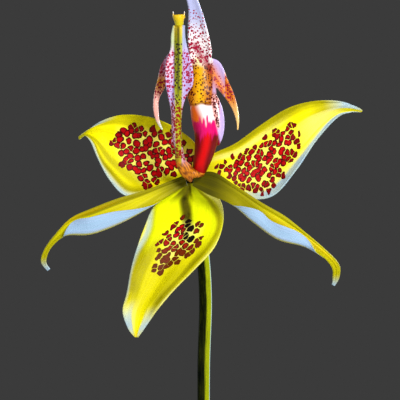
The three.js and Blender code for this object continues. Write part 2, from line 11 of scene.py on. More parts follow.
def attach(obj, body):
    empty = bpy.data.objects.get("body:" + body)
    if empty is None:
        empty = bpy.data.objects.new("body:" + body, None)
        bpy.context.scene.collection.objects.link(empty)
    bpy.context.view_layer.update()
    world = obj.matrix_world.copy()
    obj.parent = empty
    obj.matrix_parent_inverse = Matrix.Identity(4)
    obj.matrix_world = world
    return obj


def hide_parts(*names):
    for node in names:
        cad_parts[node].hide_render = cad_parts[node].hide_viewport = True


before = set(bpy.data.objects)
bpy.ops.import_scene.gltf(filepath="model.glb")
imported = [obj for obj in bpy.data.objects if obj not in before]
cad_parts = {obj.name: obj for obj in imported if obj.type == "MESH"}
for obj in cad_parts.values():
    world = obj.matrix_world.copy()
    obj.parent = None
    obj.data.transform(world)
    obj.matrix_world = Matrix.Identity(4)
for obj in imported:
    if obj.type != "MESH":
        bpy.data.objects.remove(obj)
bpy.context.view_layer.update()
# Without a seed, Blender's noise vectors change with the time of day.
SEED = 11
noise.seed_set(SEED)

MM = 0.001
FLOWER_HEIGHT = 345
POT_HEIGHT = 108
POT_RIM_RADIUS = 65
POT_RIM_BAND = 26
POT_BASE_RADIUS = 43
POT_WALL = 5.5
POT_FLOOR = 9
DRAIN_RADIUS = 5
DRAIN_CIRCLE = 22
DRILL_LENGTH = 30
BARK_LEVEL = 92
GAP = 0.3

TOWARDS_VIEWER = Vector((0, -1, 0))
RIGHTWARDS = Vector((1, 0, 0))
UPWARDS = Vector((0, 0, 1))


def paint(red, green, blue):
    """A colour as mixed on a palette, from 0 to 255, in the linear values that shaders use."""
    linear = []
    for part in (red, green, blue):
        share = part / 255
        linear.append(share / 12.92 if share < 0.04045 else ((share + 0.055) / 1.055) ** 2.4)
    return (*linear, 1)


YELLOW = paint(255, 244, 0)
LEMON = paint(240, 255, 0)
LIME = paint(186, 196, 0)
GOLD = paint(250, 200, 8)
MUSTARD = paint(192, 184, 0)
OLIVE = paint(132, 124, 0)
DEEP_OLIVE = paint(52, 50, 0)
CREAM = paint(254, 248, 140)
ICE = paint(156, 190, 222)
WHITE = paint(252, 246, 248)
LILAC = paint(198, 178, 234)
PINK = paint(234, 158, 182)
MAGENTA = paint(228, 14, 112)
RED = paint(196, 2, 10)
CRIMSON = paint(78, 0, 6)
ORANGE = paint(236, 130, 16)
PEACH = paint(240, 176, 116)
BROWN = paint(92, 28, 4)
PLUM = paint(156, 8, 50)
BLACK = paint(20, 8, 4)
SPOT_BROWN = paint(96, 42, 4)
SAC_RED = paint(222, 0, 4)

STEM_LIGHT = paint(160, 170, 8)
# Near black, for the painted shade on the stem's left side.
STEM_PAINTED_SHADE = paint(2, 6, 0)
STEM_LINE = paint(70, 78, 2)
STEM_CLOUD = paint(60, 66, 4)
STRAW = paint(176, 152, 96)
STRAW_DARK = paint(108, 82, 46)
LEAF_GREEN = paint(52, 98, 26)
LEAF_LIGHT = paint(84, 128, 38)
LEAF_VEIN = paint(40, 74, 20)
LEAF_PLEAT = paint(120, 150, 60)
LEAF_MIDRIB = paint(150, 172, 80)
LEAF_FLECK = paint(104, 84, 36)
LEAF_RIM = paint(150, 150, 70)
BULB_LIGHT = paint(104, 132, 44)
BULB_DARK = paint(74, 104, 30)
BULB_YELLOW = paint(160, 164, 60)
BULB_BROWN = paint(112, 92, 44)
BULB_FLECK = paint(86, 70, 30)
ROOT_WHITE = paint(206, 202, 180)
ROOT_GREEN = paint(150, 152, 112)
ROOT_STAIN = paint(128, 100, 66)
CLAY = paint(178, 96, 58)
CLAY_LIGHT = paint(196, 116, 76)
CLAY_GRIT = paint(130, 62, 38)
CLAY_LIME = paint(222, 202, 182)
CLAY_MOSS = paint(98, 92, 52)
BARK_GROOVE = paint(44, 26, 16)
BARK_CORK = paint(170, 130, 92)
BARK_BED = paint(48, 28, 18)
BARK_BROWN = paint(92, 54, 30)
BARK_TAN = paint(132, 88, 54)
BARK_DARK = paint(70, 40, 26)
FLOOR_LIGHT = paint(206, 204, 200)
FLOOR_GREY = paint(196, 194, 190)
STUDIO_LIGHT = paint(214, 218, 224)
STUDIO_DARK = paint(59, 59, 59)


# Curves.
def smoothstep(value, low, high):
    share = min(max((value - low) / (high - low), 0), 1)
    return share * share * (3 - 2 * share)


def between(low, high, share):
    return low + (high - low) * share


def mixed(first, second, share):
    share = min(max(share, 0), 1)
    return tuple(between(a, b, share) for a, b in zip(first, second))


def bell(distance, width):
    """1 at no distance, and a soft fall to almost 0 at twice the width."""
    return math.exp(-(distance / width) ** 2)


def catmull_rom(a, b, c, d, s):
    return b + 0.5 * s * (c - a + s * (2 * a - 5 * b + 4 * c - d + s * (3 * b - a - 3 * c + d)))


def along(values, t):
    """The value at t, from 0 to 1, of a smooth curve through evenly spaced numbers or points."""
    last = len(values) - 1
    place = min(max(t, 0) * last, last - 1e-9)
    i = int(place)
    a, b, c, d = (values[min(max(k, 0), last)] for k in (i - 1, i, i + 1, i + 2))
    if isinstance(b, (int, float)):
        return catmull_rom(a, b, c, d, place - i)
    return Vector([catmull_rom(*parts, place - i) for parts in zip(a, b, c, d)])


ALONG_STEP = 0.01


def run_of(path, t):
    """The way that a path runs at t."""
    return (along(path, t + ALONG_STEP) - along(path, t - ALONG_STEP)).normalized()


def ring_at(path, t, front):
    """The middle of a path at t, and the ways to its side and towards front."""
    run = run_of(path, t)
    side = front.cross(run).normalized()
    return along(path, t), side, run.cross(side)


EDGE_TURN = 0.3
SECTION_STEPS = 80


def half_section(cup, curl, fold, shares):
    """Half of a blade's section, from the midrib outwards, as (across, forwards) in half widths.
    It leans forwards by cup, turns by curl round the edge and runs back over the face for fold."""
    reach = 1 + fold
    step = reach / SECTION_STEPS
    walk = [(0.0, 0.0)]
    for i in range(SECTION_STEPS):
        s = step * (i + 0.5)
        angle = math.radians(cup * s + curl * smoothstep(s, 1 - EDGE_TURN, 1 + EDGE_TURN))
        x, y = walk[-1]
        walk.append((x + step * math.cos(angle), y + step * math.sin(angle)))
    widest = max(x for x, y in walk)
    section = []
    for share in shares:
        place = min(share * SECTION_STEPS, SECTION_STEPS - 1e-9)
        i = int(place)
        section.append(tuple(between(walk[i][k], walk[i + 1][k], place - i) / widest for k in (0, 1)))
    return section


# Pieces.
def linked(name, mesh, materials):
    obj = bpy.data.objects.new(name, mesh)
    bpy.context.scene.collection.objects.link(obj)
    mesh.shade_smooth()
    for material in materials:
        mesh.materials.append(material)
    return obj


def mesh_of(name, bm):
    """A mesh in metres from a bmesh in millimetres."""
    bmesh.ops.scale(bm, vec=(MM, MM, MM), verts=bm.verts)
    mesh = bpy.data.meshes.new(name)
    bm.to_mesh(mesh)
    bm.free()
    return mesh


def piece(name, mesh, materials, slot, *nodes):
    """A piece of the plant or the pot, which rides with it and stands for its CAD nodes."""
    obj = linked(name, mesh, materials)
    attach(obj, "root")
    if nodes:
        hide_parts(*nodes)
    return obj


def thicken(obj, thickness, back=0):
    """Gives a sheet its thickness, half to each side, and rounds its rim. back picks the material
    behind, counted from the face's own."""
    wall = obj.modifiers.new("Thickness", "SOLIDIFY")
    wall.thickness = thickness * MM
    wall.offset = 0
    wall.material_offset = back
    rounding = obj.modifiers.new("Rounding", "SUBSURF")
    rounding.levels = 1
    rounding.render_levels = 1


def applied(obj):
    """The mesh of an object with its modifiers applied, once the object itself is removed."""
    depsgraph = bpy.context.evaluated_depsgraph_get()
    mesh = bpy.data.meshes.new_from_object(obj.evaluated_get(depsgraph))
    bpy.data.objects.remove(obj)
    return mesh


def added(bm, part):
    """Puts a part's bmesh into another and frees it."""
    mesh = bpy.data.meshes.new("part")
    part.to_mesh(mesh)
    part.free()
    bm.from_mesh(mesh)
    bpy.data.meshes.remove(mesh)


def rows_of(verts, axis):
    """The vertices in rows of one height along an axis."""
    rows = {}
    for v in verts:
        rows.setdefault(round(v.co[axis], 5), []).append(v)
    return rows


TUBE_TIP = 0.002


def tube(path, wide, deep, front=TOWARDS_VIEWER, sides=24, steps=40, ribs=0, rib_height=0, ends=0.03):
    """An oval body along a path: wide and deep are its half sizes across and towards front, and ends
    is the share of its length over which each end is rounded."""
    bm = bmesh.new()
    bmesh.ops.create_cone(bm, cap_ends=True, segments=sides, radius1=1, radius2=1, depth=1)
    long_edges = [e for e in bm.edges if abs(e.verts[0].co.z - e.verts[1].co.z) > 0.5]
    bmesh.ops.subdivide_edges(bm, edges=long_edges, cuts=steps - 1)
    for height, ring in rows_of(bm.verts, 2).items():
        t = (1 - math.cos(math.pi * (height + 0.5))) / 2
        middle, side, out = ring_at(path, t, front)
        from_end = min(min(t, 1 - t) / ends, 1)
        swell = math.sqrt(max(1 - (1 - from_end) ** 2, TUBE_TIP))
        across = along(wide, t) * swell
        depth = along(deep, t) * swell
        for v in ring:
            angle = math.atan2(v.co.y, v.co.x)
            ridge = 1 + rib_height * math.cos(ribs * angle)
            v.co = middle + side * across * ridge * math.cos(angle) + out * depth * ridge * math.sin(angle)
    return bm


def face_on(spec, t):
    """The midrib, the ways to the two edges and the way forwards, of a blade seen from the front."""
    ax, az = along(spec["A"], t)
    bx, bz = along(spec["B"], t)
    rib = spec.get("rib", 0.5)
    middle = Vector((between(ax, bx, rib), along(spec["depth"], t), between(az, bz, rib)))
    to_a = Vector((ax - middle.x, 0, az - middle.z))
    to_b = Vector((bx - middle.x, 0, bz - middle.z))
    return middle, to_a, to_b, TOWARDS_VIEWER


def grid(across, lengthwise):
    """A sheet of squares from -1 to 1 both ways, with its UV map."""
    bm = bmesh.new()
    bm.loops.layers.uv.new("UVMap")
    bmesh.ops.create_grid(bm, x_segments=across, y_segments=lengthwise, size=1, calc_uvs=True)
    return bm


def blade(spec, across, lengthwise, relief=None, tones=None, edges=face_on):
    """A sheet laid along a blade. relief(t, a, s) lifts it off its surface, and tones(t, a, s) gives
    the colours of its face and its back; a runs from -1 to 1 across it, and s is the place in half
    its section, over 1 past the edge."""
    bm = grid(across, lengthwise)
    face_tone = bm.verts.layers.float_color.new("tone")
    back_tone = bm.verts.layers.float_color.new("back_tone")
    for height, row in rows_of(bm.verts, 1).items():
        t = (height + 1) / 2
        middle, to_a, to_b, front = edges(spec, t)
        half_a = [v for v in row if v.co.x < -1e-6]
        half_b = [v for v in row if v.co.x >= -1e-6]
        for edge, way, sign, half in (("A", to_a, -1, half_a), ("B", to_b, 1, half_b)):
            fold = max(along(spec.get("fold" + edge, [0, 0]), t), 0)
            curl = along(spec.get("curl" + edge, [0, 0]), t)
            shares = [abs(v.co.x) for v in half]
            section = half_section(along(spec["cup"], t), curl, fold, shares)
            for v, share, (out, forwards) in zip(half, shares, section):
                a = sign * share
                s = share * (1 + fold)
                lift = relief(t, a, s) if relief else 0
                if tones:
                    v[face_tone], v[back_tone] = tones(t, a, s)
                v.co = middle + way * out + front * (forwards * way.length + lift)
    bm.normal_update()
    facing = sum((f.normal.dot(edges(spec, 0.5)[3]) for f in bm.faces), 0)
    if facing < 0:
        bmesh.ops.reverse_faces(bm, faces=bm.faces)
    return bm


def raised(bm):
    """A part of the flower, lifted from round its own middle to its height on the plant."""
    bmesh.ops.translate(bm, vec=(0, 0, FLOWER_HEIGHT), verts=bm.verts)
    return bm


# Shader nodes.
def feed(tree, socket, value):
    if isinstance(value, bpy.types.NodeSocket):
        tree.links.new(value, socket)
    else:
        socket.default_value = value


def add_node(tree, kind, inputs=None, **settings):
    made = tree.nodes.new("ShaderNode" + kind)
    for name, value in settings.items():
        setattr(made, name, value)
    for name, value in (inputs or {}).items():
        feed(tree, made.inputs[name], value)
    return made


def calc(tree, operation, first, second=0.0, third=0.0):
    return add_node(tree, "Math", {0: first, 1: second, 2: third}, operation=operation).outputs[0]


def blend(tree, share, first, second):
    return add_node(tree, "Mix", {0: share, 6: first, 7: second}, data_type="RGBA").outputs[2]


def stained(tree, colour, mask, strength, over):
    """A colour with another laid over it where the mask is, at that strength."""
    return blend(tree, calc(tree, "MULTIPLY", mask, strength), colour, over)


def rise(tree, value, low, high):
    """0 below low, 1 above high, and a smooth step between them."""
    inputs = {"Value": value, "From Min": low, "From Max": high}
    return add_node(tree, "MapRange", inputs, interpolation_type="SMOOTHSTEP").outputs[0]


def attribute(tree, name):
    return add_node(tree, "Attribute", attribute_name=name).outputs


def object_mm(tree):
    """Object coordinates in millimetres."""
    place = add_node(tree, "TexCoord").outputs["Object"]
    return add_node(tree, "VectorMath", {0: place, "Scale": 1000.0}, operation="SCALE").outputs[0]


def split(tree, vector):
    """The three parts of a vector."""
    return add_node(tree, "SeparateXYZ", {0: vector}).outputs


def cloud_noise(tree, place, scale, detail):
    return add_node(tree, "TexNoise", {"Vector": place, "Scale": scale, "Detail": detail}).outputs[0]


def stretched(tree, place, scale):
    return add_node(tree, "Mapping", {"Vector": place, "Scale": scale}).outputs[0]


def wandering(tree, place, source, scale, detail, reach):
    """A place pushed about by noise that is read at source, by up to half of reach each way."""
    noise_inputs = {"Vector": source, "Scale": scale, "Detail": detail}
    wobble = add_node(tree, "TexNoise", noise_inputs).outputs["Color"]
    centring = {0: wobble, 1: (0.5, 0.5, 0.5)}
    centred = add_node(tree, "VectorMath", centring, operation="SUBTRACT").outputs[0]
    shift = {0: centred, 1: reach, 2: place}
    return add_node(tree, "VectorMath", shift, operation="MULTIPLY_ADD").outputs[0]


def shader_group(name, amounts, masks):
    """An empty node group that reads a Place and some amounts, and puts out masks."""
    group = bpy.data.node_groups.new(name, "ShaderNodeTree")
    group.interface.new_socket(name="Place", in_out="INPUT", socket_type="NodeSocketVector")
    for label in amounts:
        group.interface.new_socket(name=label, in_out="INPUT", socket_type="NodeSocketFloat")
    for label in masks:
        group.interface.new_socket(name=label, in_out="OUTPUT", socket_type="NodeSocketFloat")
    return group, group.nodes.new("NodeGroupInput").outputs, group.nodes.new("NodeGroupOutput").inputs


def place_group(tree, group, inputs):
    made = tree.nodes.new("ShaderNodeGroup")
    made.node_tree = group
    for name, value in inputs.items():
        feed(tree, made.inputs[name], value)
    return made.outputs


def mottle_group():
    """Soft clouds with a fine grain in them, for anything grown or fired."""
    group, given, result = shader_group("Mottle", ["Size", "Grain"], ["Clouds", "Fine"])
    clouds = cloud_noise(group, given["Place"], calc(group, "DIVIDE", 1.0, given["Size"]), 3.0)
    fine = cloud_noise(group, given["Place"], calc(group, "DIVIDE", 1.0, given["Grain"]), 2.0)
    feed(group, result["Clouds"], rise(group, clouds, 0.3, 0.7))
    feed(group, result["Fine"], fine)
    return group


def veins_group():
    """Fine even lines, and broken streaks, that run the length of a blade, from its UV map."""
    group, given, result = shader_group("Veins", ["Count", "Waver"], ["Lines", "Streaks"])
    waver = cloud_noise(group, stretched(group, given["Place"], (3, 5, 1)), 2.0, 2.0)
    parts = split(group, given["Place"])
    bent = calc(group, "MULTIPLY_ADD", waver, given["Waver"], parts[0])
    counted = calc(group, "MULTIPLY", bent, given["Count"])
    wave = calc(group, "SINE", calc(group, "MULTIPLY", counted, math.tau))
    feed(group, result["Lines"], calc(group, "MULTIPLY_ADD", wave, 0.5, 0.5))
    drawn = add_node(group, "CombineXYZ", {0: counted, 1: parts[1]}).outputs[0]
    feed(group, result["Streaks"], rise(group, cloud_noise(group, drawn, 1.6, 3.0), 0.38, 0.66))
    return group


DOT_SOFTNESS = 0.09


def dots_group():
    """Small round dots of many sizes; Fill, from 0 to 1, is how much of the surface they cover."""
    group, given, result = shader_group("Dots", ["Size", "Fill"], ["Mask"])
    pushed = wandering(group, given["Place"], given["Place"], 1.1, 1.0, (0.5, 0.5, 0.5))
    scale = calc(group, "DIVIDE", 1.0, given["Size"])
    cells = add_node(group, "TexVoronoi", {"Vector": pushed, "Scale": scale}).outputs
    chance = add_node(group, "SeparateColor", {0: cells["Color"]}).outputs[0]
    radius = calc(group, "MULTIPLY", given["Fill"], calc(group, "MULTIPLY_ADD", chance, 0.5, 0.35))
    outside = rise(group, cells["Distance"], calc(group, "SUBTRACT", radius, DOT_SOFTNESS), radius)
    feed(group, result["Mask"], calc(group, "SUBTRACT", 1.0, outside))
    return group


MOTTLE = mottle_group()
VEINS = veins_group()
DOTS = dots_group()


def mottled(tree, size, grain):
    """Clouds of that size and a grain, in millimetres."""
    return place_group(tree, MOTTLE, {"Place": object_mm(tree), "Size": size, "Grain": grain})


def veined(tree, count, waver):
    """Lines and streaks along a piece that has a UV map."""
    uv = add_node(tree, "TexCoord").outputs["UV"]
    return place_group(tree, VEINS, {"Place": uv, "Count": count, "Waver": waver})


def dotted(tree, size, fill):
    """A mask of dots, size millimetres apart."""
    return place_group(tree, DOTS, {"Place": object_mm(tree), "Size": size, "Fill": fill})["Mask"]


def new_material(name, roughness=0.5, coat=0.0, gloss=0.5):
    material = bpy.data.materials.new(name)
    material.use_nodes = True
    tree = material.node_tree
    tree.nodes.clear()
    surface = {"Roughness": roughness, "Coat Weight": coat, "Specular IOR Level": gloss}
    shader = add_node(tree, "BsdfPrincipled", surface)
    add_node(tree, "OutputMaterial", {"Surface": shader.outputs[0]})
    return material, tree, shader


RELIEF_STRENGTH = 0.6


def dress(tree, shader, colour, relief, depth, grain=None, swing=0, lowest=0):
    """Feeds a shader its colour and a relief of depth millimetres. Where a grain is given, the
    roughness goes up from its lowest by swing with it."""
    feed(tree, shader.inputs["Base Color"], colour)
    if grain is not None:
        feed(tree, shader.inputs["Roughness"], calc(tree, "MULTIPLY_ADD", grain, swing, lowest))
    inputs = {"Height": relief, "Distance": depth * MM, "Strength": RELIEF_STRENGTH}
    feed(tree, shader.inputs["Normal"], add_node(tree, "Bump", inputs).outputs[0])


def inside_outline(tree, place, outline):
    """How far a place on the flower's face lies inside an outline of corners given clockwise."""
    nearest = None
    for (x0, z0), (x1, z1) in zip(outline, outline[1:] + outline[:1]):
        run = Vector((x1 - x0, z1 - z0)).normalized()
        inwards = {0: place, 1: (run.y, -run.x, 0)}
        level = add_node(tree, "VectorMath", inwards, operation="DOT_PRODUCT").outputs["Value"]
        depth = calc(tree, "SUBTRACT", level, run.y * x0 - run.x * z0)
        nearest = depth if nearest is None else calc(tree, "MINIMUM", nearest, depth)
    return nearest


SPOT_WOBBLES = ((0.3, 1.8), (0.8, 0.7))
SPOT_JOIN = 0.13
SPOT_SEAM = 0.035
SPOT_EDGE = 0.035
SPOT_RAGGEDNESS = 2.2


def spots_on(tree, flat, outline, size, turn, stretch, seed, full):
    """Red drops inside an outline, each whole or not there. Gives how deep a place is in its drop,
    whether there is a drop, the middle of the drop, and how far inside the outline that middle is."""
    pushed = flat
    for scale, reach in SPOT_WOBBLES:
        pushed = wandering(tree, pushed, flat, scale, 2.0, (reach, reach, 0))
    lie = {
        "Location": (seed, seed * 0.7, 0),
        "Rotation": (0, 0, math.radians(turn)),
        "Scale": (stretch, 1, 1),
    }
    turned_place = add_node(tree, "Mapping", {"Vector": pushed, **lie}, vector_type="TEXTURE").outputs[0]
    cell = {"Vector": turned_place, "Scale": 1 / size, "Randomness": 0.8}
    cells = add_node(tree, "TexVoronoi", cell, voronoi_dimensions="2D").outputs
    borders = add_node(tree, "TexVoronoi", cell, voronoi_dimensions="2D", feature="DISTANCE_TO_EDGE")
    centre = add_node(tree, "Mapping", {"Vector": cells["Position"], **lie}, vector_type="POINT").outputs[0]
    chance = add_node(tree, "SeparateColor", {0: cells["Color"]}).outputs
    inside = inside_outline(tree, centre, outline)
    ragged = calc(tree, "MULTIPLY_ADD", chance[1], SPOT_RAGGEDNESS, calc(tree, "SUBTRACT", inside, 1.4))
    present = rise(tree, ragged, -0.01, 0.01)
    heart = rise(tree, inside, 1.5, 5.0)
    even_reach = calc(tree, "MULTIPLY_ADD", heart, -0.02, full)
    reach = calc(tree, "MULTIPLY_ADD", chance[2], 0.12, even_reach)
    drop = calc(tree, "SUBTRACT", reach, cells["Distance"])
    joined_inside = calc(tree, "MULTIPLY", heart, rise(tree, chance[0], 0.2, 0.3))
    joined = calc(tree, "MAXIMUM", joined_inside, rise(tree, chance[0], 0.7, 0.8))
    from_border = calc(tree, "SUBTRACT", borders.outputs["Distance"], SPOT_SEAM)
    seam = calc(tree, "MULTIPLY_ADD", joined, 0.5, from_border)
    body = calc(tree, "SMOOTH_MIN", drop, seam, SPOT_JOIN)
    return body, calc(tree, "MULTIPLY", rise(tree, body, 0.0, SPOT_EDGE), present), centre, inside


def sepal_face(name, outline, size, turn, stretch, seed, full=0.53, tint=None):
    """Yellow flesh with a patch of red spots inside an outline, given as [right, up] corners. The
    spots are size millimetres apart, stretched by stretch at an angle of turn, and neighbours run
    together where they meet. tint(tree, centre) may give a share and a colour for some of them."""
    material, tree, shader = new_material(name, roughness=0.5, gloss=0.08)
    parts = split(tree, object_mm(tree))
    height = calc(tree, "SUBTRACT", parts[2], FLOWER_HEIGHT)
    flat = add_node(tree, "CombineXYZ", {0: parts[0], 1: height}).outputs[0]
    body, spots, centre, inside = spots_on(tree, flat, outline, size, turn, stretch, seed, full)
    streaks = veined(tree, 17.0, 0.12)["Streaks"]
    mottle = mottled(tree, 7.0, 0.7)

    flesh = stained(tree, attribute(tree, "tone")["Color"], streaks, 0.14, OLIVE)
    flesh = stained(tree, flesh, mottle["Clouds"], 0.15, YELLOW)
    flesh = stained(tree, flesh, rise(tree, inside_outline(tree, flat, outline), 0.0, 5.0), 0.5, CREAM)
    spot_rim = rise(tree, body, 0.28, 0.15)
    patch_rim = calc(tree, "MULTIPLY", rise(tree, inside, 4.0, 1.0), 0.75)
    flecks = calc(tree, "MULTIPLY", rise(tree, mottle["Fine"], 0.5, 0.7), 0.6)
    dark = calc(tree, "MAXIMUM", calc(tree, "MAXIMUM", spot_rim, patch_rim), flecks)
    spot_colour = blend(tree, dark, RED, CRIMSON)
    if tint:
        share, stain = tint(tree, centre)
        spot_colour = blend(tree, share, spot_colour, stain)
    colour = blend(tree, spots, flesh, spot_colour)
    fibres = calc(tree, "MULTIPLY_ADD", streaks, 0.25, mottle["Fine"])
    relief = calc(tree, "MULTIPLY_ADD", spots, 0.4, fibres)
    dress(tree, shader, colour, relief, 0.25, mottle["Fine"], 0.2, 0.38)
    return material


def blade_skin(name, attribute_name, count, roughness, line_colour, line_share):
    """Plain flesh whose colour is laid on its points, with fine veins along it."""
    material, tree, shader = new_material(name, roughness=roughness, gloss=0.1)
    lines = veined(tree, count, 0.04)["Streaks"]
    fine = mottled(tree, 6.0, 0.6)["Fine"]
    colour = stained(tree, attribute(tree, attribute_name)["Color"], lines, line_share, line_colour)
    relief = calc(tree, "MULTIPLY_ADD", lines, 0.5, fine)
    dress(tree, shader, colour, relief, 0.2, fine, 0.2, roughness - 0.1)
    return material


def dotted_flesh(name, size, roughness, coat, gloss=0.3):
    """Waxy flesh whose ground, dot colour and amount of dots are laid on its points."""
    material, tree, shader = new_material(name, roughness=roughness, coat=coat, gloss=gloss)
    mask = dotted(tree, size, attribute(tree, "dots")["Fac"])
    fine = mottled(tree, 3.0, 0.35)["Fine"]
    ground = attribute(tree, "tone")["Color"]
    colour = blend(tree, mask, ground, attribute(tree, "dot_tone")["Color"])
    relief = calc(tree, "MULTIPLY_ADD", mask, 0.4, fine)
    dress(tree, shader, colour, relief, 0.12, fine, 0.2, roughness - 0.1)
    return material


# Blades of the flower. BAND_SOFT is how far the ends of a band of colour fade.
BAND_SOFT_ACROSS = 0.07
BAND_SOFT_ALONG = 0.08


def window(value, low, high, soft):
    """1 from low to high and 0 outside, with soft ends."""
    return smoothstep(value, low - soft, low + soft) * (1 - smoothstep(value, high - soft, high + soft))


def banded(ground, bands, t, a, sway=0):
    """The ground colour with soft bands along the blade: each is a colour, where it starts and ends
    across the blade, where it starts and ends along it, and how strong it is. sway moves them across.
    Some bands are the blade's own colours, and some are painted shade and painted rim highlight."""
    waver = 0.1 * noise.noise(Vector((t * 6, a * 1.5, 3))) - sway
    for colour, a_low, a_high, t_low, t_high, strength in bands:
        across = window(a + waver, a_low, a_high, BAND_SOFT_ACROSS)
        lengthwise = window(t, t_low, t_high, BAND_SOFT_ALONG)
        ground = mixed(ground, colour, strength * (across * lengthwise))
    return ground


# Each blade has its two edges, A and B, from foot to tip, in places right of and above the flower's
# middle, and along it: its depth behind that middle, the share of the way from A to B where its
# midrib lies, how its section cups, curls at an edge and folds back over it, how far its bands of
# colour sway, and those bands. Besides the blade's own colours, the bands hold painted shade: olive
# and dark bands at the foot, down the dorsal sepal's groove and inside curled or creased margins.
# The thin pale bands along the edges are partly the pale back of a rolled margin and partly painted
# rim highlight.
DORSAL_SEPAL = {
    "A": [(-1.5, -2), (-7, -6), (-13.5, -10.5), (-17.5, -19), (-20.5, -27.5), (-22.5, -35),
          (-24, -43.5), (-25.5, -50.5), (-23.5, -57), (-20.8, -60.3)],
    "B": [(1, -2), (6.5, -5.5), (11.5, -8.5), (12.7, -16.5), (9.5, -26), (2, -34.5),
          (-6.5, -43), (-12, -49.5), (-16.5, -56), (-19.8, -60.3)],
    "depth": [1.8, 3, 5, 6.5, 6, 4, 1.5, -1, -3, -4],
    "rib": 0.52,
    "cup": [5, 20, 30, 34, 32, 32, 28, 25, 18, 10],
    "sway": [0, -0.14, -0.16, -0.02, 0.1, 0.02, 0, 0, 0, 0, 0, 0],
    # Painted shade: the deep olive and black bands at the foot and down the groove, and the olive bands
    # inside both margins and low on the blade. The thin cream and ice bands along both edges are partly
    # pale margin and partly painted rim highlight.
    "bands": [
        (LEMON, -1, 1, 0, 0.45, 0.9), (OLIVE, -0.96, -0.82, 0.1, 0.5, 0.5),
        (OLIVE, -1.1, -0.5, 0.42, 0.72, 0.85), (MUSTARD, -0.7, 0.7, 0.4, 0.82, 0.6),
        (OLIVE, 0.2, 0.6, 0.55, 0.76, 0.4), (MUSTARD, 0.72, 1.1, 0.04, 0.8, 0.7),
        (OLIVE, 0.74, 0.86, 0.08, 0.5, 0.8), (OLIVE, 0.62, 0.84, 0.46, 0.8, 0.8),
        (OLIVE, 0.5, 1.1, 0.66, 0.8, 0.6),
        (GOLD, -0.35, 0.15, 0.84, 1.1, 0.4), (CREAM, -0.7, -0.3, 0.76, 0.95, 0.6),
        (ICE, 0.34, 1.1, 0.83, 0.97, 0.95), (ICE, -1.1, -0.5, 0.78, 0.94, 0.95),
        (CREAM, 0.94, 1.1, 0.1, 0.8, 0.8), (ICE, -1.1, -0.93, 0.1, 0.7, 0.7),
        (DEEP_OLIVE, -1, 1, -1, 0.03, 0.7), (OLIVE, -0.16, 0.14, -0.1, 0.37, 0.6),
        (OLIVE, -1, 1, -0.1, 0.08, 0.6), (DEEP_OLIVE, -0.5, 0.3, -0.1, 0.17, 0.95),
        (OLIVE, -1, 1, 0.96, 1.1, 0.5), (DEEP_OLIVE, -0.15, 0.12, -0.1, 0.37, 0.97),
        (BLACK, -0.08, 0.06, -0.1, 0.33, 0.75),
    ],
}
LATERAL_SEPAL_LEFT = {
    "A": [(2.8, 5), (2.7, 12), (-3, 17.5), (-11.4, 22), (-19.8, 24), (-27.4, 24),
          (-34.2, 21.7), (-39.6, 18.3), (-43, 16)],
    "B": [(-1.5, 0), (-9, -2), (-17, -6), (-25, -6.5), (-31.2, 0), (-35, 6.8),
          (-37.6, 12.9), (-40.3, 16.3), (-42.8, 15)],
    "depth": [1.8, 4, 6.5, 8, 8.5, 8.5, 9, 11, 14],
    "cup": [5, 25, 40, 45, 40, 35, 35, 25, 10],
    # Painted shade: the olive bands inside the margins and along the crease by the lower margin. The thin
    # cream and ice bands along the edges are partly pale margin and partly painted rim highlight.
    "bands": [
        (MUSTARD, -1.1, -0.72, 0.1, 0.75, 0.8), (OLIVE, -0.74, -0.58, 0.12, 0.8, 0.5),
        (GOLD, -0.6, -0.48, 0.1, 0.45, 0.6), (OLIVE, 0.4, 0.92, 0.25, 0.85, 0.6),
        (YELLOW, 0.62, 0.72, 0.35, 0.75, 0.8), (OLIVE, 0.76, 0.88, 0.25, 0.8, 0.7),
        (OLIVE, -1, 1, 0.88, 1.1, 0.6), (CREAM, 0.9, 1.1, 0.2, 0.88, 0.8),
        (ICE, 0.9, 1.1, 0.3, 0.84, 0.85), (ICE, -1.1, -0.84, 0.7, 0.92, 0.85),
        (MUSTARD, -1.1, -0.9, 0.1, 0.6, 0.7), (LIME, -1, 1, -1, 0.1, 0.6),
    ],
}
LATERAL_SEPAL_RIGHT = {
    "A": [(4.5, 4.5), (8.4, 9), (17.5, 13.3), (27.4, 20.5), (37.2, 26.6), (46.4, 29.3),
          (55, 29.6), (61.6, 28.5), (66.5, 26.4)],
    "B": [(2, 0.5), (11.5, -3), (21, -7.5), (31.5, -6.8), (40.7, 3.4), (48.3, 14.5),
          (56, 23), (61.6, 25.3), (66.2, 25.6)],
    "depth": [1.8, 4, 6.5, 8, 8.5, 9, 10, 12, 15],
    "cup": [5, 25, 40, 45, 40, 35, 35, 25, 10],
    "curlA": [0, 0, 0, 0, 0, 40, 70, 40, 0],
    "curlB": [0, 0, 0, 10, 30, 40, 30, 20, 0],
    # Painted shade: the olive bands at the foot and inside the margins. The ice bands along the lower
    # margin and at the tip are partly the pale back of a rolled margin and partly painted rim highlight.
    "bands": [
        (MUSTARD, -1.1, -0.8, 0.1, 0.85, 0.9), (OLIVE, -1.1, -0.9, 0.2, 0.7, 0.6),
        (CREAM, -0.78, -0.58, 0.1, 0.45, 0.7),
        (OLIVE, -0.9, -0.66, 0.4, 0.8, 0.5), (OLIVE, -0.7, 0.1, 0.62, 0.8, 0.6),
        (OLIVE, -1, 1, 0.92, 1.1, 0.6), (CREAM, -0.3, 0.5, 0.55, 0.8, 0.55),
        (CREAM, 0.58, 0.74, 0.3, 0.85, 0.6), (ICE, 0.74, 1.1, 0.25, 0.97, 0.95),
        (OLIVE, -0.2, 0.5, 0.76, 0.96, 0.6), (ICE, -1.1, -0.1, 0.76, 0.97, 0.95),
        (OLIVE, -1, 1, -1, 0.14, 0.6),
    ],
}
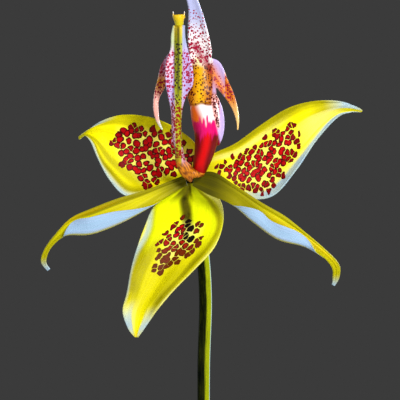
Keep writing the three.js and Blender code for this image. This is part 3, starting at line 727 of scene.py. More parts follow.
PETAL_LEFT = {
    "A": [(-2, 1), (-9.5, -2), (-18, -5), (-27.4, -7.8), (-37.3, -11.6), (-44.5, -15),
          (-50, -20.5), (-54.8, -26.8), (-56.4, -31.7), (-54, -35.2)],
    "B": [(-1, -2.8), (-7, -6), (-15.2, -11), (-25.8, -16.8), (-36.8, -21), (-45.6, -21.4),
          (-48.6, -22.8), (-52.9, -26.8), (-54.7, -31.5), (-53.4, -34.7)],
    "depth": [-0.5, -2.5, -5, -7, -8, -8, -7, -4, -1, 0.5],
    "rib": 0.3,
    "cup": [0, 10, 15, 15, 15, 15, 10, 5, 0, 0],
    "curlB": [0, 0, 110, 145, 152, 150, 60, 0, 0, 0],
    "foldB": [0, 0, 0.3, 0.75, 0.95, 0.95, 0.1, 0, 0, 0],
    # Painted shade: the deep olive band at the foot and the olive band beside it.
    "bands": [
        (OLIVE, -1.1, -0.1, 0.08, 0.5, 0.7), (DEEP_OLIVE, -1.1, 1, -0.1, 0.12, 0.85),
        (YELLOW, -0.1, 0.35, 0.2, 0.72, 0.4), (OLIVE, -1.1, -0.7, 0.5, 0.85, 0.4),
        (GOLD, -0.8, -0.4, 0.35, 0.6, 0.3), (ICE, -1.1, 1.1, 0.92, 1.1, 0.95),
    ],
}
PETAL_RIGHT = {
    "A": [(1.6, 1.6), (9, 2.2), (17.5, -3), (27.4, -9.5), (36, -14.5), (44, -21),
          (51.3, -27.4), (56.2, -32.7), (56.4, -37.6), (54.6, -40.9)],
    "B": [(1, -3), (7, -6.4), (16, -10), (24, -16.7), (33, -23), (43, -25.7),
          (49.8, -29.6), (53.6, -33.8), (54.1, -37.6), (54, -40.5)],
    "depth": [-0.5, -2.5, -5, -7, -8, -8, -7, -5, -3, -2],
    "rib": 0.3,
    "cup": [0, 10, 15, 15, 15, 15, 10, 5, 0, 0],
    "curlB": [0, 0, 110, 148, 152, 140, 30, 0, 0, 0],
    "foldB": [0, 0, 0, 0, 0.1, 0.6, 0.9, 0.76, 0.86, 0.98, 1.04, 0.98, 0.6, 0.1, 0, 0, 0, 0, 0],
    # Painted shade: the deep olive band at the foot and the olive band beside it.
    "bands": [
        (OLIVE, -1.1, 1, 0.05, 0.35, 0.6), (DEEP_OLIVE, -1.1, 1, -0.1, 0.19, 0.9),
        (YELLOW, -0.5, 0.1, 0.35, 0.75, 0.3), (OLIVE, -1.1, -0.8, 0.2, 0.9, 0.35),
        (GOLD, -0.1, 0.3, 0.4, 0.75, 0.3), (ICE, -1.1, 1.1, 0.93, 1.1, 0.95),
    ],
}


def sepal_tones(spec):
    def tones(t, a, s):
        sway = along(spec.get("sway", [0, 0]), t)
        face = banded(YELLOW, spec["bands"], t, a, sway)
        back = mixed(mixed(CREAM, ICE, 0.7), LIME, 0.55 * (1 - smoothstep(abs(a), 0.1, 0.8)))
        back = mixed(back, LIME, 0.5 * (1 - smoothstep(t, 0.05, 0.4)))
        return face, back
    return tones


def petal_tones(spec):
    def tones(t, a, s):
        face = banded(MUSTARD, spec["bands"], t, a)
        over_edge = smoothstep(s, 1.1, 1.2) if a > 0 else 0
        back = mixed(MUSTARD, ICE, max(over_edge, smoothstep(t, 0.86, 0.97)))
        return face, back
    return tones


PATCH_LEFT = [
    (-29, 20.8), (-18.8, 20.8), (-7.2, 17.9), (3, 11), (5, 5), (-18.2, -4.6), (-27.8, 5.5), (-30.6, 12.4),
]
PATCH_RIGHT = [
    (9, 4), (39.5, 23), (41.8, 12), (38, 4), (34, -1.4), (28.5, -5.6), (24, -6.4), (14.5, -1),
]
PATCH_DORSAL = [
    (-5.2, -16), (-2.3, -14.8), (7.2, -17), (4.8, -23), (2.3, -27), (-0.9, -30.6), (-10.8, -37),
    (-15, -36.6), (-14.2, -31.5), (-10.6, -21.5),
]
GROOVE_PLACE = -0.9


def dorsal_tint(tree, centre):
    """Spots are nearly black by the groove, where the groove's painted shade falls on them, and turn
    brown further down.
    """
    parts = split(tree, centre)
    lower = calc(tree, "MULTIPLY", rise(tree, parts[1], -22.0, -30.0), 0.9)
    right = calc(tree, "MULTIPLY", rise(tree, parts[0], -2.0, 3.0), 0.6)
    # Painted shade: spots in the groove turn black.
    beside = calc(tree, "ABSOLUTE", calc(tree, "SUBTRACT", parts[0], GROOVE_PLACE))
    groove = calc(tree, "MULTIPLY", rise(tree, beside, 2.2, 1.2), rise(tree, parts[1], -26.0, -24.0))
    stain = blend(tree, groove, SPOT_BROWN, BLACK)
    return calc(tree, "MAXIMUM", calc(tree, "MAXIMUM", lower, right), groove), stain


FACE_LEFT = sepal_face("sepal_face_left", PATCH_LEFT, 2.4, 27, 1.0, 3.1)
FACE_RIGHT = sepal_face("sepal_face_right", PATCH_RIGHT, 1.85, 62, 1.35, 7.7)
FACE_DORSAL = sepal_face("sepal_face_dorsal", PATCH_DORSAL, 1.7, 40, 1.75, 21.4, 0.5, dorsal_tint)
SEPAL_BACK = blade_skin("sepal_back", "back_tone", 22.0, 0.5, LIME, 0.15)
PETAL_FACE = blade_skin("petal_face", "tone", 14.0, 0.45, OLIVE, 0.18)
PETAL_BACK = blade_skin("petal_back", "back_tone", 20.0, 0.5, mixed(ICE, LILAC, 0.4), 0.3)

FLOWER_THICKNESS = 0.6
LIP_THICKNESS = 1.1


def sepal_relief(midrib):
    """A groove down the midrib and a soft swell to each side, with a waved margin."""
    def relief(t, a, s):
        body = math.sin(math.pi * min(max(t, 0), 1)) ** 0.6
        groove = -midrib * bell(a, 0.09) * (1 - smoothstep(t, 0.35, 0.6))
        swell = 0.5 * bell(abs(a) - 0.4, 0.2)
        wave = 0.5 * smoothstep(abs(a), 0.7, 1) * math.sin(23 * t + 3 * a)
        return body * (groove + swell + wave)
    return relief


def petal_relief(t, a, s):
    """Waves that grow along the folded flap."""
    wave = 0.7 * smoothstep(s, 1.3, 1.9) * math.sin(31 * t)
    return wave * math.sin(math.pi * min(max(t, 0), 1)) + 0.15 * math.cos(9 * a)


def flower_blade(node, spec, materials, slot, tones, relief):
    name = node + "_blade"
    bm = raised(blade(spec, across=60, lengthwise=84, relief=relief, tones=tones))
    thicken(piece(name, mesh_of(name, bm), materials, slot, node), FLOWER_THICKNESS, back=1)


SEPALS = [
    ("dorsal_sepal", DORSAL_SEPAL, FACE_DORSAL, 1.1),
    ("lateral_sepal_left", LATERAL_SEPAL_LEFT, FACE_LEFT, 0.3),
    ("lateral_sepal_right", LATERAL_SEPAL_RIGHT, FACE_RIGHT, 0.3),
]
for sepal, sepal_spec, sepal_front, midrib_depth in SEPALS:
    relief_of_sepal = sepal_relief(midrib_depth)
    skins = [sepal_front, SEPAL_BACK]
    flower_blade(sepal, sepal_spec, skins, "sepal", sepal_tones(sepal_spec), relief_of_sepal)
for petal, petal_spec in (("petal_left", PETAL_LEFT), ("petal_right", PETAL_RIGHT)):
    skins = [PETAL_FACE, PETAL_BACK]
    flower_blade(petal, petal_spec, skins, "petal", petal_tones(petal_spec), petal_relief)

# Lip and column.
SAC_TOP = 28.5
LIP_SAC = {
    "path": [
        (3, -4, 0.8), (4, -5.5, 4.5), (5.6, -7.5, 10.5), (6.4, -9, 16.5), (6, -9.5, 22), (5, -9.5, SAC_TOP),
    ],
    "wide": [2, 3, 3.9, 4.7, 5.4, 5.2],
    "deep": [1.6, 3, 3.8, 4.4, 4.6, 4],
}
LIP_SADDLE = {
    "path": [(5, -10, 25), (4.4, -9.5, 32), (4.2, -9, 38), (3.8, -9, 44), (3, -9, 50)],
    "wide": [4.2, 5.6, 4.2, 3.4, 2],
    "deep": [2.5, 3.2, 2.6, 1.8, 0.8],
}
LIP_POINT = {
    "A": [
        (0.5, 42), (-0.4, 47), (-0.8, 52.5), (-0.6, 58), (-0.5, 63), (-1.8, 68), (-4.6, 72.5), (-7.4, 75.6),
    ],
    "B": [(7.5, 41), (8.2, 46.5), (7.4, 52), (5.8, 58), (4, 63.5), (1.8, 68.5), (-2, 73.8), (-6.6, 76.4)],
    "depth": [-9, -9.5, -10.5, -12, -14, -16.5, -19, -21],
    "cup": [40, 45, 45, 45, 40, 35, 20, 0],
}
HORN_RIGHT = {
    "A": [
        (6, 45.5), (10.5, 44.2), (12.5, 41.2), (14, 37), (16, 32.5), (17.6, 27), (18.4, 22), (18.2, 17.8),
    ],
    "B": [(4, 40), (8, 36.5), (10.5, 33.5), (13, 30.5), (15, 27.5), (16.6, 24), (17.5, 20.5), (17.7, 17.6)],
    "depth": [-9, -8.5, -8, -8, -9, -10.5, -12, -12.5],
    "cup": [10, 20, 30, 30, 30, 20, 10, 0],
}
HORN_LEFT = {
    "A": [
        (1, 46), (-6.8, 47.5), (-10.5, 43), (-12, 37), (-13.4, 31), (-13.7, 25.5), (-12.6, 21),
        (-10.5, 17.8),
    ],
    "B": [
        (3.5, 40), (-2.5, 40), (-7.5, 37), (-10.3, 32.5), (-11.8, 29), (-11.8, 25), (-11.4, 21.5),
        (-10.1, 18),
    ],
    "depth": [-8.5, -8, -8, -8.5, -9.5, -10.5, -11.5, -12],
    "cup": [10, 20, 30, 30, 30, 20, 10, 0],
}
LIP_KEEL = {
    "A": [(10, 31.5), (12, 27), (13, 22), (12.7, 16.5), (11, 12)],
    "B": [(8.5, 30), (8.8, 26), (9, 22), (8.8, 17), (8.5, 12.5)],
    "depth": [-8, -7.5, -7, -7, -7],
    "cup": [0, 10, 10, 10, 0],
}
COLUMN_BODY = {
    "path": [(-0.9, -5.5, 0.8), (-3.2, -9, 6.5), (-4.7, -12, 14), (-5, -14, 22), (-4.8, -15.5, 29.5),
             (-4.2, -16.5, 37), (-3.9, -17, 45), (-3.7, -17, 52.5), (-3.8, -17, 57)],
    "wide": [1.6, 1.5, 1.6, 1.7, 1.8, 1.7, 1.9, 1.9, 1.8],
    "deep": [1.3, 1.4, 1.5, 1.6, 1.8, 1.8, 2, 2, 2],
}
COLUMN_FOOT = {
    "path": [(-4.4, -9.8, 9.5), (-3.2, -8.8, 5.6), (-1.2, -7.8, 2.4), (0.5, -6.6, -1.7)],
    "wide": [1.5, 2, 2.7, 0.5],
    "deep": [1.2, 1.6, 1.8, 0.6],
}
COLUMN_HEEL = {
    "path": [(-2, -7.4, 3), (1, -7, 1.7), (3.6, -6, 1.4), (5.8, -5, 2.2)],
    "wide": [1.4, 1.7, 1.2, 0.4],
    "deep": [1.2, 1.6, 1.4, 0.6],
}
COLUMN_WINGS = {
    "A": [(-7, 12), (-7, 24), (-8.4, 31), (-9.2, 36), (-9, 43), (-7.2, 48), (-7, 53), (-6.2, 57)],
    "B": [(-3, 12), (-3, 24), (-1, 31), (1.2, 34.5), (1.2, 40), (-0.8, 48), (-1.7, 53), (-1.8, 57)],
    "depth": [-11, -13.6, -15, -15.6, -16, -16.2, -16.4, -16.4],
    "cup": [10, 20, 30, 35, 35, 30, 25, 20],
}
ANTHER_CAP = {
    "path": [(-3.9, -17, 56.6), (-4, -17.3, 58), (-4.1, -17.6, 59.4), (-4.2, -17.7, 60.8)],
    "wide": [1.5, 1.7, 2.1, 2.4],
    "deep": [1.6, 1.9, 2.3, 2.2],
}


def lobe(spec):
    obj = linked("lobe", mesh_of("lobe", blade(spec, across=12, lengthwise=30)), [])
    thicken(obj, LIP_THICKNESS)
    return applied(obj)


SKIN_GRAIN = 0.3


def fused(name, bodies, lobes):
    """One skin over several bodies and lobes, softened where they meet. Still in metres, at the
    flower's own middle."""
    bm = bmesh.new()
    for body in bodies:
        oval = tube(body["path"], body["wide"], body["deep"], sides=28, steps=48, ends=0.06)
        bm.from_mesh(mesh_of("body", oval))
    for spec in lobes:
        bm.from_mesh(lobe(spec))
    mesh = bpy.data.meshes.new(name)
    bm.to_mesh(mesh)
    bm.free()
    obj = linked(name, mesh, [])
    skin = obj.modifiers.new("Skin", "REMESH")
    skin.mode = "VOXEL"
    skin.voxel_size = SKIN_GRAIN * MM
    soft = obj.modifiers.new("Soft", "SMOOTH")
    soft.factor = 0.5
    soft.iterations = 3
    return applied(obj)


def coloured(mesh, colours):
    """Lays ground, dot colour and amount of dots on the points of a mesh, then lifts it into place.
    colours(x, y, z) is in millimetres round the flower's middle."""
    for name, kind in (("tone", "FLOAT_COLOR"), ("dot_tone", "FLOAT_COLOR"), ("dots", "FLOAT")):
        mesh.attributes.new(name, kind, "POINT")
    laid = [colours(*(v.co / MM)) for v in mesh.vertices]
    for column, (name, field) in enumerate((("tone", "color"), ("dot_tone", "color"), ("dots", "value"))):
        for point, values in zip(mesh.attributes[name].data, laid):
            setattr(point, field, values[column])
    mesh.transform(Matrix.Translation((0, 0, FLOWER_HEIGHT * MM)))
    return mesh


def ripple(x, z, size, seed=0.0):
    return noise.noise(Vector((x / size, z / size, seed)))


def near_line(x, z, start, end):
    """How far a place is from a line from start to end."""
    run = Vector(end) - Vector(start)
    from_start = Vector((x, z)) - Vector(start)
    share = min(max(from_start.dot(run) / run.length_squared, 0), 1)
    return (from_start - run * share).length


def sac_colours(x, z, off):
    """Red below, darkened to crimson at both sides and at the bottom as painted shade, magenta flames
    above it and a white bulge at the top. off is how far right of the sac's middle a place is."""
    flame = 3.4 * ripple(x, z / 6, 0.7, 4) + 1.2 * ripple(x, z, 2.5, 8)
    # Painted shade: how near a place is to the sac's sides and bottom.
    edge = max(smoothstep(off, 0.4, 2.8), smoothstep(-off, 0, 2.6), 0.6 * smoothstep(z, 6, 2))
    sac = mixed(SAC_RED, CRIMSON, 0.85 * edge)
    sac = mixed(sac, MAGENTA, smoothstep(z + flame, 14, 18) * (1 - 0.5 * smoothstep(-off, 1, 4)))
    white = mixed(mixed(RED, ORANGE, 0.5), WHITE, smoothstep(off + 0.25 * (z - 22), -3, 0.2))
    return mixed(sac, white, smoothstep(z + flame, 20.6, 22.6))


LIP_EDGE = 27.4
HORN_ELBOW = (14, 30)
RIDGE = ((1.9, 49.7), (8, 40))


def lip_colours(x, y, z):
    off = x - along([3, 4, 5.6, 6.4, 6, 5], z / SAC_TOP)
    ground = sac_colours(x, z, off)
    # Golden saddle, brown at its lower edge.
    edge = LIP_EDGE + 0.35 * math.cos(1.15 * (x - 4.4))
    saddle = smoothstep(z, edge - 0.8, edge + 0.5)
    gold = mixed(mixed(ORANGE, BROWN, 0.5), mixed(GOLD, ORANGE, 0.3), bell(x - 3.6, 2.2))
    ground = mixed(ground, gold, saddle)
    ground = mixed(ground, BROWN, 0.6 * bell(z - edge - 0.3, 0.5))
    dot = mixed(RED, mixed(BROWN, CRIMSON, 0.4), saddle)
    amount = between(0.0, 0.85 - 0.35 * bell(x - 3.4, 1.8), saddle)
    # Pale point with plum dots, a cream spot at its foot and a plum ridge.
    point = smoothstep(z + ripple(x, z, 3), 41.5, 44)
    pale = mixed(WHITE, mixed(ICE, LILAC, 0.5), smoothstep(z, 50, 62) + smoothstep(-x, 0, 1.5))
    ground = mixed(ground, pale, point)
    dot = mixed(dot, PLUM, point)
    amount = between(amount, between(0.9, 0.62, smoothstep(z, 48, 62)), point)
    amount *= 1 - smoothstep(z, 62.5, 65.5)
    ground = mixed(ground, CREAM, 0.7 * math.exp(-((x - 3) ** 2 + (z - 44) ** 2) / 2.5))
    ridge = bell(near_line(x, z, *RIDGE), 1.3)
    ground = mixed(ground, PLUM, 0.8 * ridge)
    amount = between(amount, 1.0, ridge)
    # Right horn: lilac with an orange arm.
    horn = max(smoothstep(x, 12.9, 13.5), smoothstep(x, 8, 9.2) * smoothstep(z, 30, 33))
    if horn > 0:
        arm = max(bell(near_line(x, z, (8, 40.5), HORN_ELBOW), 2.1), smoothstep(x, 12.8, 13.4))
        flesh = mixed(mixed(ORANGE, BROWN, 0.2), mixed(PEACH, CREAM, 0.3), smoothstep(z, 31, 23))
        ground = mixed(ground, mixed(LILAC, flesh, arm), horn)
        dot = mixed(dot, PLUM, horn)
        amount = between(amount, 0.8 * arm * smoothstep(z, 20, 32), horn)
    # Keel beside the sac.
    if 8.2 < x < 13.2 and z < 32:
        inner_edge = 8.8 + 0.25 * (22 - z)
        keel = smoothstep(x, inner_edge, inner_edge + 1) * (1 - smoothstep(z, 30, 32))
        outer = max(smoothstep(x, 10.9, 11.5), smoothstep(z, 20, 17))
        ground = mixed(ground, mixed(mixed(PEACH, PINK, 0.6), LILAC, outer), keel)
        dot = mixed(dot, CRIMSON, keel)
        amount = between(amount, 1.0 - outer, keel)
    # Left horn: pink and plum above, orange, then pale at its tip.
    if x < -1.5 and 15 < z < 50:
        horn = smoothstep(-x, 1.5, 3)
        flush = smoothstep(-x, 8.8, 11) * smoothstep(z, 36, 42)
        upper = mixed(mixed(LILAC, PINK, 0.4), mixed(RED, PLUM, 0.4), flush)
        tint = mixed(mixed(ORANGE, GOLD, 0.4), upper, smoothstep(z, 36, 41))
        tint = mixed(mixed(PINK, PEACH, 0.5), tint, smoothstep(z, 30, 36))
        tint = mixed(mixed(ICE, CREAM, 0.4), tint, smoothstep(z, 18.5, 23))
        ground = mixed(ground, tint, horn)
        dot = mixed(dot, PLUM, horn)
        amount = between(amount, 0.9 * smoothstep(z, 22, 36), horn)
    return ground, dot, amount


COLUMN_MIDDLE = -4.3


def column_colours(x, y, z):
    off = abs(x - COLUMN_MIDDLE)
    leftwards = COLUMN_MIDDLE - x
    # Green body with a dark middle line, pink and lilac lower down.
    body = mixed(mixed(LIME, OLIVE, 0.35), mixed(GOLD, LIME, 0.3), smoothstep(z, 49, 57))
    body = mixed(body, DEEP_OLIVE, 0.9 * bell(x - COLUMN_MIDDLE, 0.6) * (1 - smoothstep(z, 55, 58.5)))
    lower = mixed(mixed(LIME, OLIVE, 0.3), mixed(PINK, LILAC, 0.4), smoothstep(off, 0.9, 1.6))
    ground = mixed(lower, body, smoothstep(z, 26, 34))
    # Pale wings, lilac below and greenish white above.
    wing = smoothstep(off, 1.2, 1.9) * smoothstep(z, 22, 30)
    rosy = 0.7 * smoothstep(leftwards, 1, 3) * smoothstep(z, 32, 42)
    low_wing = mixed(LILAC, mixed(WHITE, PINK, 0.5), rosy)
    left_wing = mixed(CREAM, mixed(LIME, ICE, 0.6), 0.7)
    high_wing = mixed(mixed(ICE, LILAC, 0.4), left_wing, smoothstep(leftwards, -1, 1))
    ground = mixed(ground, mixed(low_wing, high_wing, smoothstep(z, 46, 51)), wing)
    # Striped brown foot, darker brown at its underside as painted shade.
    foot = 1 - smoothstep(z + 2 * ripple(x, z, 2), 4, 9)
    stripe = smoothstep(ripple(x + 0.6 * z, 0.25 * (z - x), 0.55, 5), -0.15, 0.25)
    ground = mixed(ground, mixed(mixed(ORANGE, OLIVE, 0.25), BROWN, 0.8 * stripe), foot)
    # Painted shade under the foot.
    ground = mixed(ground, BROWN, 0.6 * (1 - smoothstep(z, -1.5, 1)))
    upper_dot = mixed(BLACK, mixed(PLUM, MAGENTA, 0.15), smoothstep(off, 1.1, 1.8))
    dot = mixed(upper_dot, mixed(RED, BROWN, 0.6), smoothstep(z, 30, 24))
    amount = between(between(0.66, 0.95, smoothstep(z, 30, 22)), 0.85, wing)
    amount *= (1 - smoothstep(z, 49.5, 52.5)) * (1 - foot)
    amount *= 1 - 0.9 * wing * smoothstep(z, 46, 49)
    return ground, dot, amount


LIP_FLESH = dotted_flesh("lip_flesh", 0.85, 0.3, 0.03, 0.15)
COLUMN_FLESH = dotted_flesh("column_flesh", 0.9, 0.42, 0.0)
lip_mesh = fused("lip_flesh", [LIP_SAC, LIP_SADDLE], [LIP_POINT, HORN_RIGHT, HORN_LEFT, LIP_KEEL])
piece("lip_body", coloured(lip_mesh, lip_colours), [LIP_FLESH], "lip", "lip")
column_mesh = fused("column_flesh", [COLUMN_BODY, COLUMN_FOOT, COLUMN_HEEL], [COLUMN_WINGS])
piece("column_body", coloured(column_mesh, column_colours), [COLUMN_FLESH], "column", "column")


def anther_colours(x, y, z):
    ground = mixed(mixed(GOLD, LIME, 0.6), mixed(GOLD, MUSTARD, 0.3), smoothstep(z, 57, 60))
    return mixed(ground, WHITE, smoothstep(z, 60.9, 61.3)), BROWN, 0.1


ANTHER_FLESH = dotted_flesh("anther_flesh", 0.8, 0.4, 0.1)
CAP_POINT_WIDE = [0.3, 0.2, 0.08]
cap_bm = tube(ANTHER_CAP["path"], ANTHER_CAP["wide"], ANTHER_CAP["deep"], sides=24, steps=20, ends=0.12)
for x in (-6.1, -2.0):
    point_path = [(x, -17.4, 59.4), (x * 1.01, -17.5, 61), (x * 1.02, -17.4, 62)]
    added(cap_bm, tube(point_path, CAP_POINT_WIDE, CAP_POINT_WIDE, sides=10, steps=6, ends=0.1))
cap_mesh = mesh_of("anther_cap_body", cap_bm)
piece("anther_cap_body", coloured(cap_mesh, anther_colours), [ANTHER_FLESH], "anther", "anther_cap")

# Stem and its sheaths.
STEM_PATH = [
    (8, 15, 86.5), (8.6, 16.5, 122), (8, 18, 162), (6.6, 19, 202), (5.4, 19.5, 242), (5.2, 19, 272),
    (5.9, 17.5, 298), (4.6, 14.5, 318), (2, 9.5, 334), (0.4, 3.9, FLOWER_HEIGHT - 0.6),
]
STEM_WIDE = [2.8, 2.5, 2.4, 2.35, 2.4, 2.5, 2.55, 2.55, 2.6, 2.2]
SHEATHS = [("lower", 0.14, 0.3, 38), ("upper", 0.34, 0.47, -38)]


def stem_skin():
    """Green, with painted shade darkening its left side and a painted rim highlight as a pale line
    along its right, and with fine lines and soft clouds.
    """
    material, tree, shader = new_material("stem_skin", roughness=0.42, gloss=0.05)
    lines = cloud_noise(tree, stretched(tree, object_mm(tree), (1.4, 1.4, 0.06)), 1.6, 3.0)
    mottle = mottled(tree, 9.0, 0.5)
    shade = attribute(tree, "shade")["Fac"]
    leftwards = calc(tree, "MULTIPLY_ADD", lines, 0.5, shade)
    # Painted shade: the side that faces left turns near black.
    colour = blend(tree, rise(tree, leftwards, 0.1, 0.55), STEM_LIGHT, STEM_PAINTED_SHADE)
    colour = stained(tree, colour, rise(tree, lines, 0.45, 0.7), 0.25, STEM_LINE)
    colour = stained(tree, colour, mottle["Clouds"], 0.12, STEM_CLOUD)
    # Painted rim highlight: a thin pale line where the stem faces right.
    colour = stained(tree, colour, rise(tree, shade, -0.66, -0.78), 0.65, ICE)
    relief = calc(tree, "MULTIPLY_ADD", mottle["Fine"], 0.4, lines)
    dress(tree, shader, colour, relief, 0.2, mottle["Fine"], 0.3, 0.28)
    return material


def stem_shades(bm):
    """How far each point of the stem faces to its left, from -1 to 1: the amount of painted shade,
    and at the far right, the painted rim highlight.
    """
    shade = bm.verts.layers.float.new("shade")
    bm.normal_update()
    for v in bm.verts:
        v[shade] = -v.normal.x - 0.4 * v.normal.y
    return bm


stem_bm = tube(
    STEM_PATH, STEM_WIDE, STEM_WIDE, front=RIGHTWARDS, sides=28, steps=120, ribs=6, rib_height=0.025,
    ends=0.004)
stem_mesh = mesh_of("flower_stem_body", stem_shades(stem_bm))
piece("flower_stem_body", stem_mesh, [stem_skin()], "stem", "flower_stem")


def dry_skin():
    """Dry plant skin: thin, fibrous along its length and darker in streaks."""
    material, tree, shader = new_material("dry_sheath", roughness=0.7)
    lines = veined(tree, 14.0, 0.05)["Lines"]
    mottle = mottled(tree, 5.0, 0.5)
    colour = stained(tree, STRAW, lines, 0.5, STRAW_DARK)
    colour = stained(tree, colour, mottle["Clouds"], 0.5, STRAW_DARK)
    relief = calc(tree, "ADD", lines, mottle["Fine"])
    dress(tree, shader, colour, relief, 0.3, mottle["Fine"], 0.3, 0.55)
    return material


DRY_SKIN = dry_skin()
SHEATH_THICKNESS = 0.35
SHEATH_WRAP = math.radians(200)


def sheath(name, start, end, slant):
    """A wrapped sheath that overlaps itself down one side and ends in a slanting pointed mouth."""
    bm = grid(48, 30)
    for v in bm.verts:
        angle = v.co.x * SHEATH_WRAP
        up = (v.co.y + 1) / 2
        mouth = 0.8 + math.copysign(0.2, slant) * math.cos(angle)
        t = between(start, end, up * mouth)
        middle, side, out = ring_at(STEM_PATH, t, RIGHTWARDS)
        radius = along(STEM_WIDE, t) + 0.55 + 0.25 * v.co.x + 0.5 * smoothstep(up, 0.6, 1)
        radius += 0.12 * ripple(angle * 2, up * 40, 3, start)
        v.co = middle + out * radius * math.cos(angle) - side * radius * math.sin(angle)
    mesh = mesh_of("sheath_" + name, bm)
    obj = piece("sheath_" + name, mesh, [DRY_SKIN], "sheath", "stem_sheath_" + name)
    thicken(obj, SHEATH_THICKNESS)


for sheath_values in SHEATHS:
    sheath(*sheath_values)

# Pseudobulbs and leaves.
BULB_HEIGHT = 46
BULB_RADIUS = 13.5
BULB_NECK = 4.6
BULB_FOOT = BARK_LEVEL - 3
PLANTS = [
    {"name": "left", "x": -30, "y": 4, "heading": 196, "scale": 0.9, "length": 188, "lean": -5},
    {"name": "middle", "x": -6, "y": 27, "heading": 118, "scale": 1, "length": 205, "lean": -2},
    {"name": "right", "x": 27, "y": 8, "heading": -12, "scale": 1.05, "length": 212, "lean": 5},
]
LEAF_WIDTH = 56
LEAF_THICKNESS = 0.9
STALK_LENGTH = 34
PLEATS = 5
PLEAT_DEPTH = 2.2
LEAF_CUP = [75, 80, 75, 55, 28, 20, 16, 15, 10]
SCALE_THICKNESS = 0.3
SCALE_WRAP = math.radians(105)


def bulb_shape(plant):
    scale = plant["scale"]
    path = []
    for share in (0, 0.2, 0.4, 0.6, 0.8, 1):
        lean = plant["lean"] * share ** 2
        path.append((plant["x"] + lean, plant["y"], BULB_FOOT + BULB_HEIGHT * scale * share))
    neck = BULB_NECK / BULB_RADIUS
    wide = [r * BULB_RADIUS * scale for r in (0.6, 0.95, 1, 0.86, 0.6, neck)]
    deep = [r * BULB_RADIUS * scale for r in (0.6, 0.9, 0.92, 0.78, 0.55, neck)]
    return path, wide, deep


def leaf_rib(plant):
    """The way of a leaf's midrib: up its stalk from the neck, then out and down."""
    neck = bulb_shape(plant)[0]
    top = Vector(neck[-1])
    run = (top - along(neck, 0.99)).normalized()
    foot = top + run * GAP
    heading = math.radians(plant["heading"])
    away = Vector((math.cos(heading), math.sin(heading), 0))
    reach = plant["length"] - STALK_LENGTH
    bow = [(0.07, 0.17), (0.21, 0.29), (0.4, 0.36), (0.6, 0.32), (0.78, 0.18), (0.92, -0.04)]
    rib = [foot + away * out * reach + UPWARDS * (up * reach + 4) for out, up in bow]
    rise_point = foot + run * (STALK_LENGTH / 3)
    bend_point = foot + away * 5 + UPWARDS * (STALK_LENGTH * 2 / 3)
    return away, [foot, rise_point, bend_point] + rib


def leaf_skin():
    """Deep green blades with sunk veins along the pleats, a paler midrib and a few brown flecks."""
    material, tree, shader = new_material("leaf_skin", roughness=0.42)
    across = split(tree, add_node(tree, "TexCoord").outputs["UV"])[0]
    off_middle = calc(tree, "ABSOLUTE", calc(tree, "SUBTRACT", across, 0.5))
    fine = veined(tree, 55.0, 0.004)["Lines"]
    pleats = veined(tree, float(PLEATS), 0.004)["Lines"]
    mottle = mottled(tree, 16.0, 0.8)
    colour = blend(tree, mottle["Clouds"], LEAF_GREEN, LEAF_LIGHT)
    colour = stained(tree, colour, fine, 0.3, LEAF_VEIN)
    colour = stained(tree, colour, rise(tree, pleats, 0.8, 1.0), 0.4, LEAF_PLEAT)
    colour = stained(tree, colour, rise(tree, off_middle, 0.012, 0.004), 0.7, LEAF_MIDRIB)
    colour = stained(tree, colour, dotted(tree, 11.0, 0.12), 0.7, LEAF_FLECK)
    colour = stained(tree, colour, rise(tree, off_middle, 0.485, 0.5), 0.5, LEAF_RIM)
    relief = calc(tree, "MULTIPLY_ADD", fine, 0.6, mottle["Fine"])
    dress(tree, shader, colour, relief, 0.25, mottle["Fine"], 0.25, 0.3)
    return material


def bulb_skin():
    """Shining green, cloudy, yellower at the neck and brown at the foot, with a few dark flecks."""
    material, tree, shader = new_material("bulb_skin", roughness=0.35, coat=0.2)
    mottle = mottled(tree, 8.0, 0.6)
    height = split(tree, object_mm(tree))[2]
    colour = blend(tree, mottle["Clouds"], BULB_LIGHT, BULB_DARK)
    colour = stained(tree, colour, rise(tree, height, 118, 134), 0.6, BULB_YELLOW)
    colour = stained(tree, colour, rise(tree, height, 102, 92), 0.7, BULB_BROWN)
    colour = stained(tree, colour, dotted(tree, 3.0, 0.22), 0.5, BULB_FLECK)
    dress(tree, shader, colour, mottle["Fine"], 0.2, mottle["Fine"], 0.25, 0.22)
    return material


LEAF_SKIN = leaf_skin()
BULB_SKIN = bulb_skin()


def leaf(plant):
    away, rib = leaf_rib(plant)
    side = away.cross(UPWARDS).normalized()
    scale = plant["scale"]
    half_width = [w * LEAF_WIDTH * scale / 2 for w in (0.13, 0.1, 0.1, 0.12, 0.5, 0.92, 1, 0.74, 0.02)]

    def edges(spec, t):
        half = max(along(half_width, t), 0.5)
        return along(rib, t), side * -half, side * half, side.cross(run_of(rib, t)).normalized()

    def relief(t, a, s):
        swell = min(along(half_width, t) / (LEAF_WIDTH / 4), 1) * smoothstep(t, 0.3, 0.5)
        pleat = -PLEAT_DEPTH * swell * math.cos(math.pi * PLEATS * (a + 1)) / 2
        wave = 0.8 * swell * smoothstep(abs(a), 0.75, 1) * math.sin(19 * t + 2 * a)
        return pleat + wave + 0.6 * swell * ripple(a * 12, t * 60, 9, scale)

    name = "leaf_" + plant["name"]
    bm = blade({"cup": LEAF_CUP}, across=60, lengthwise=90, relief=relief, edges=edges)
    thicken(piece(name + "_blade", mesh_of(name, bm), [LEAF_SKIN], "leaf", name), LEAF_THICKNESS)


def pseudobulb(plant):
    path, wide, deep = bulb_shape(plant)
    bm = tube(path, wide, deep, sides=72, steps=40, ribs=8, rib_height=0.05, ends=0.02)
    for v in bm.verts:
        v.co += 0.35 * noise.noise_vector(v.co / 7)
    name = "pseudobulb_" + plant["name"]
    piece(name + "_body", mesh_of(name, bm), [BULB_SKIN], "pseudobulb", name)


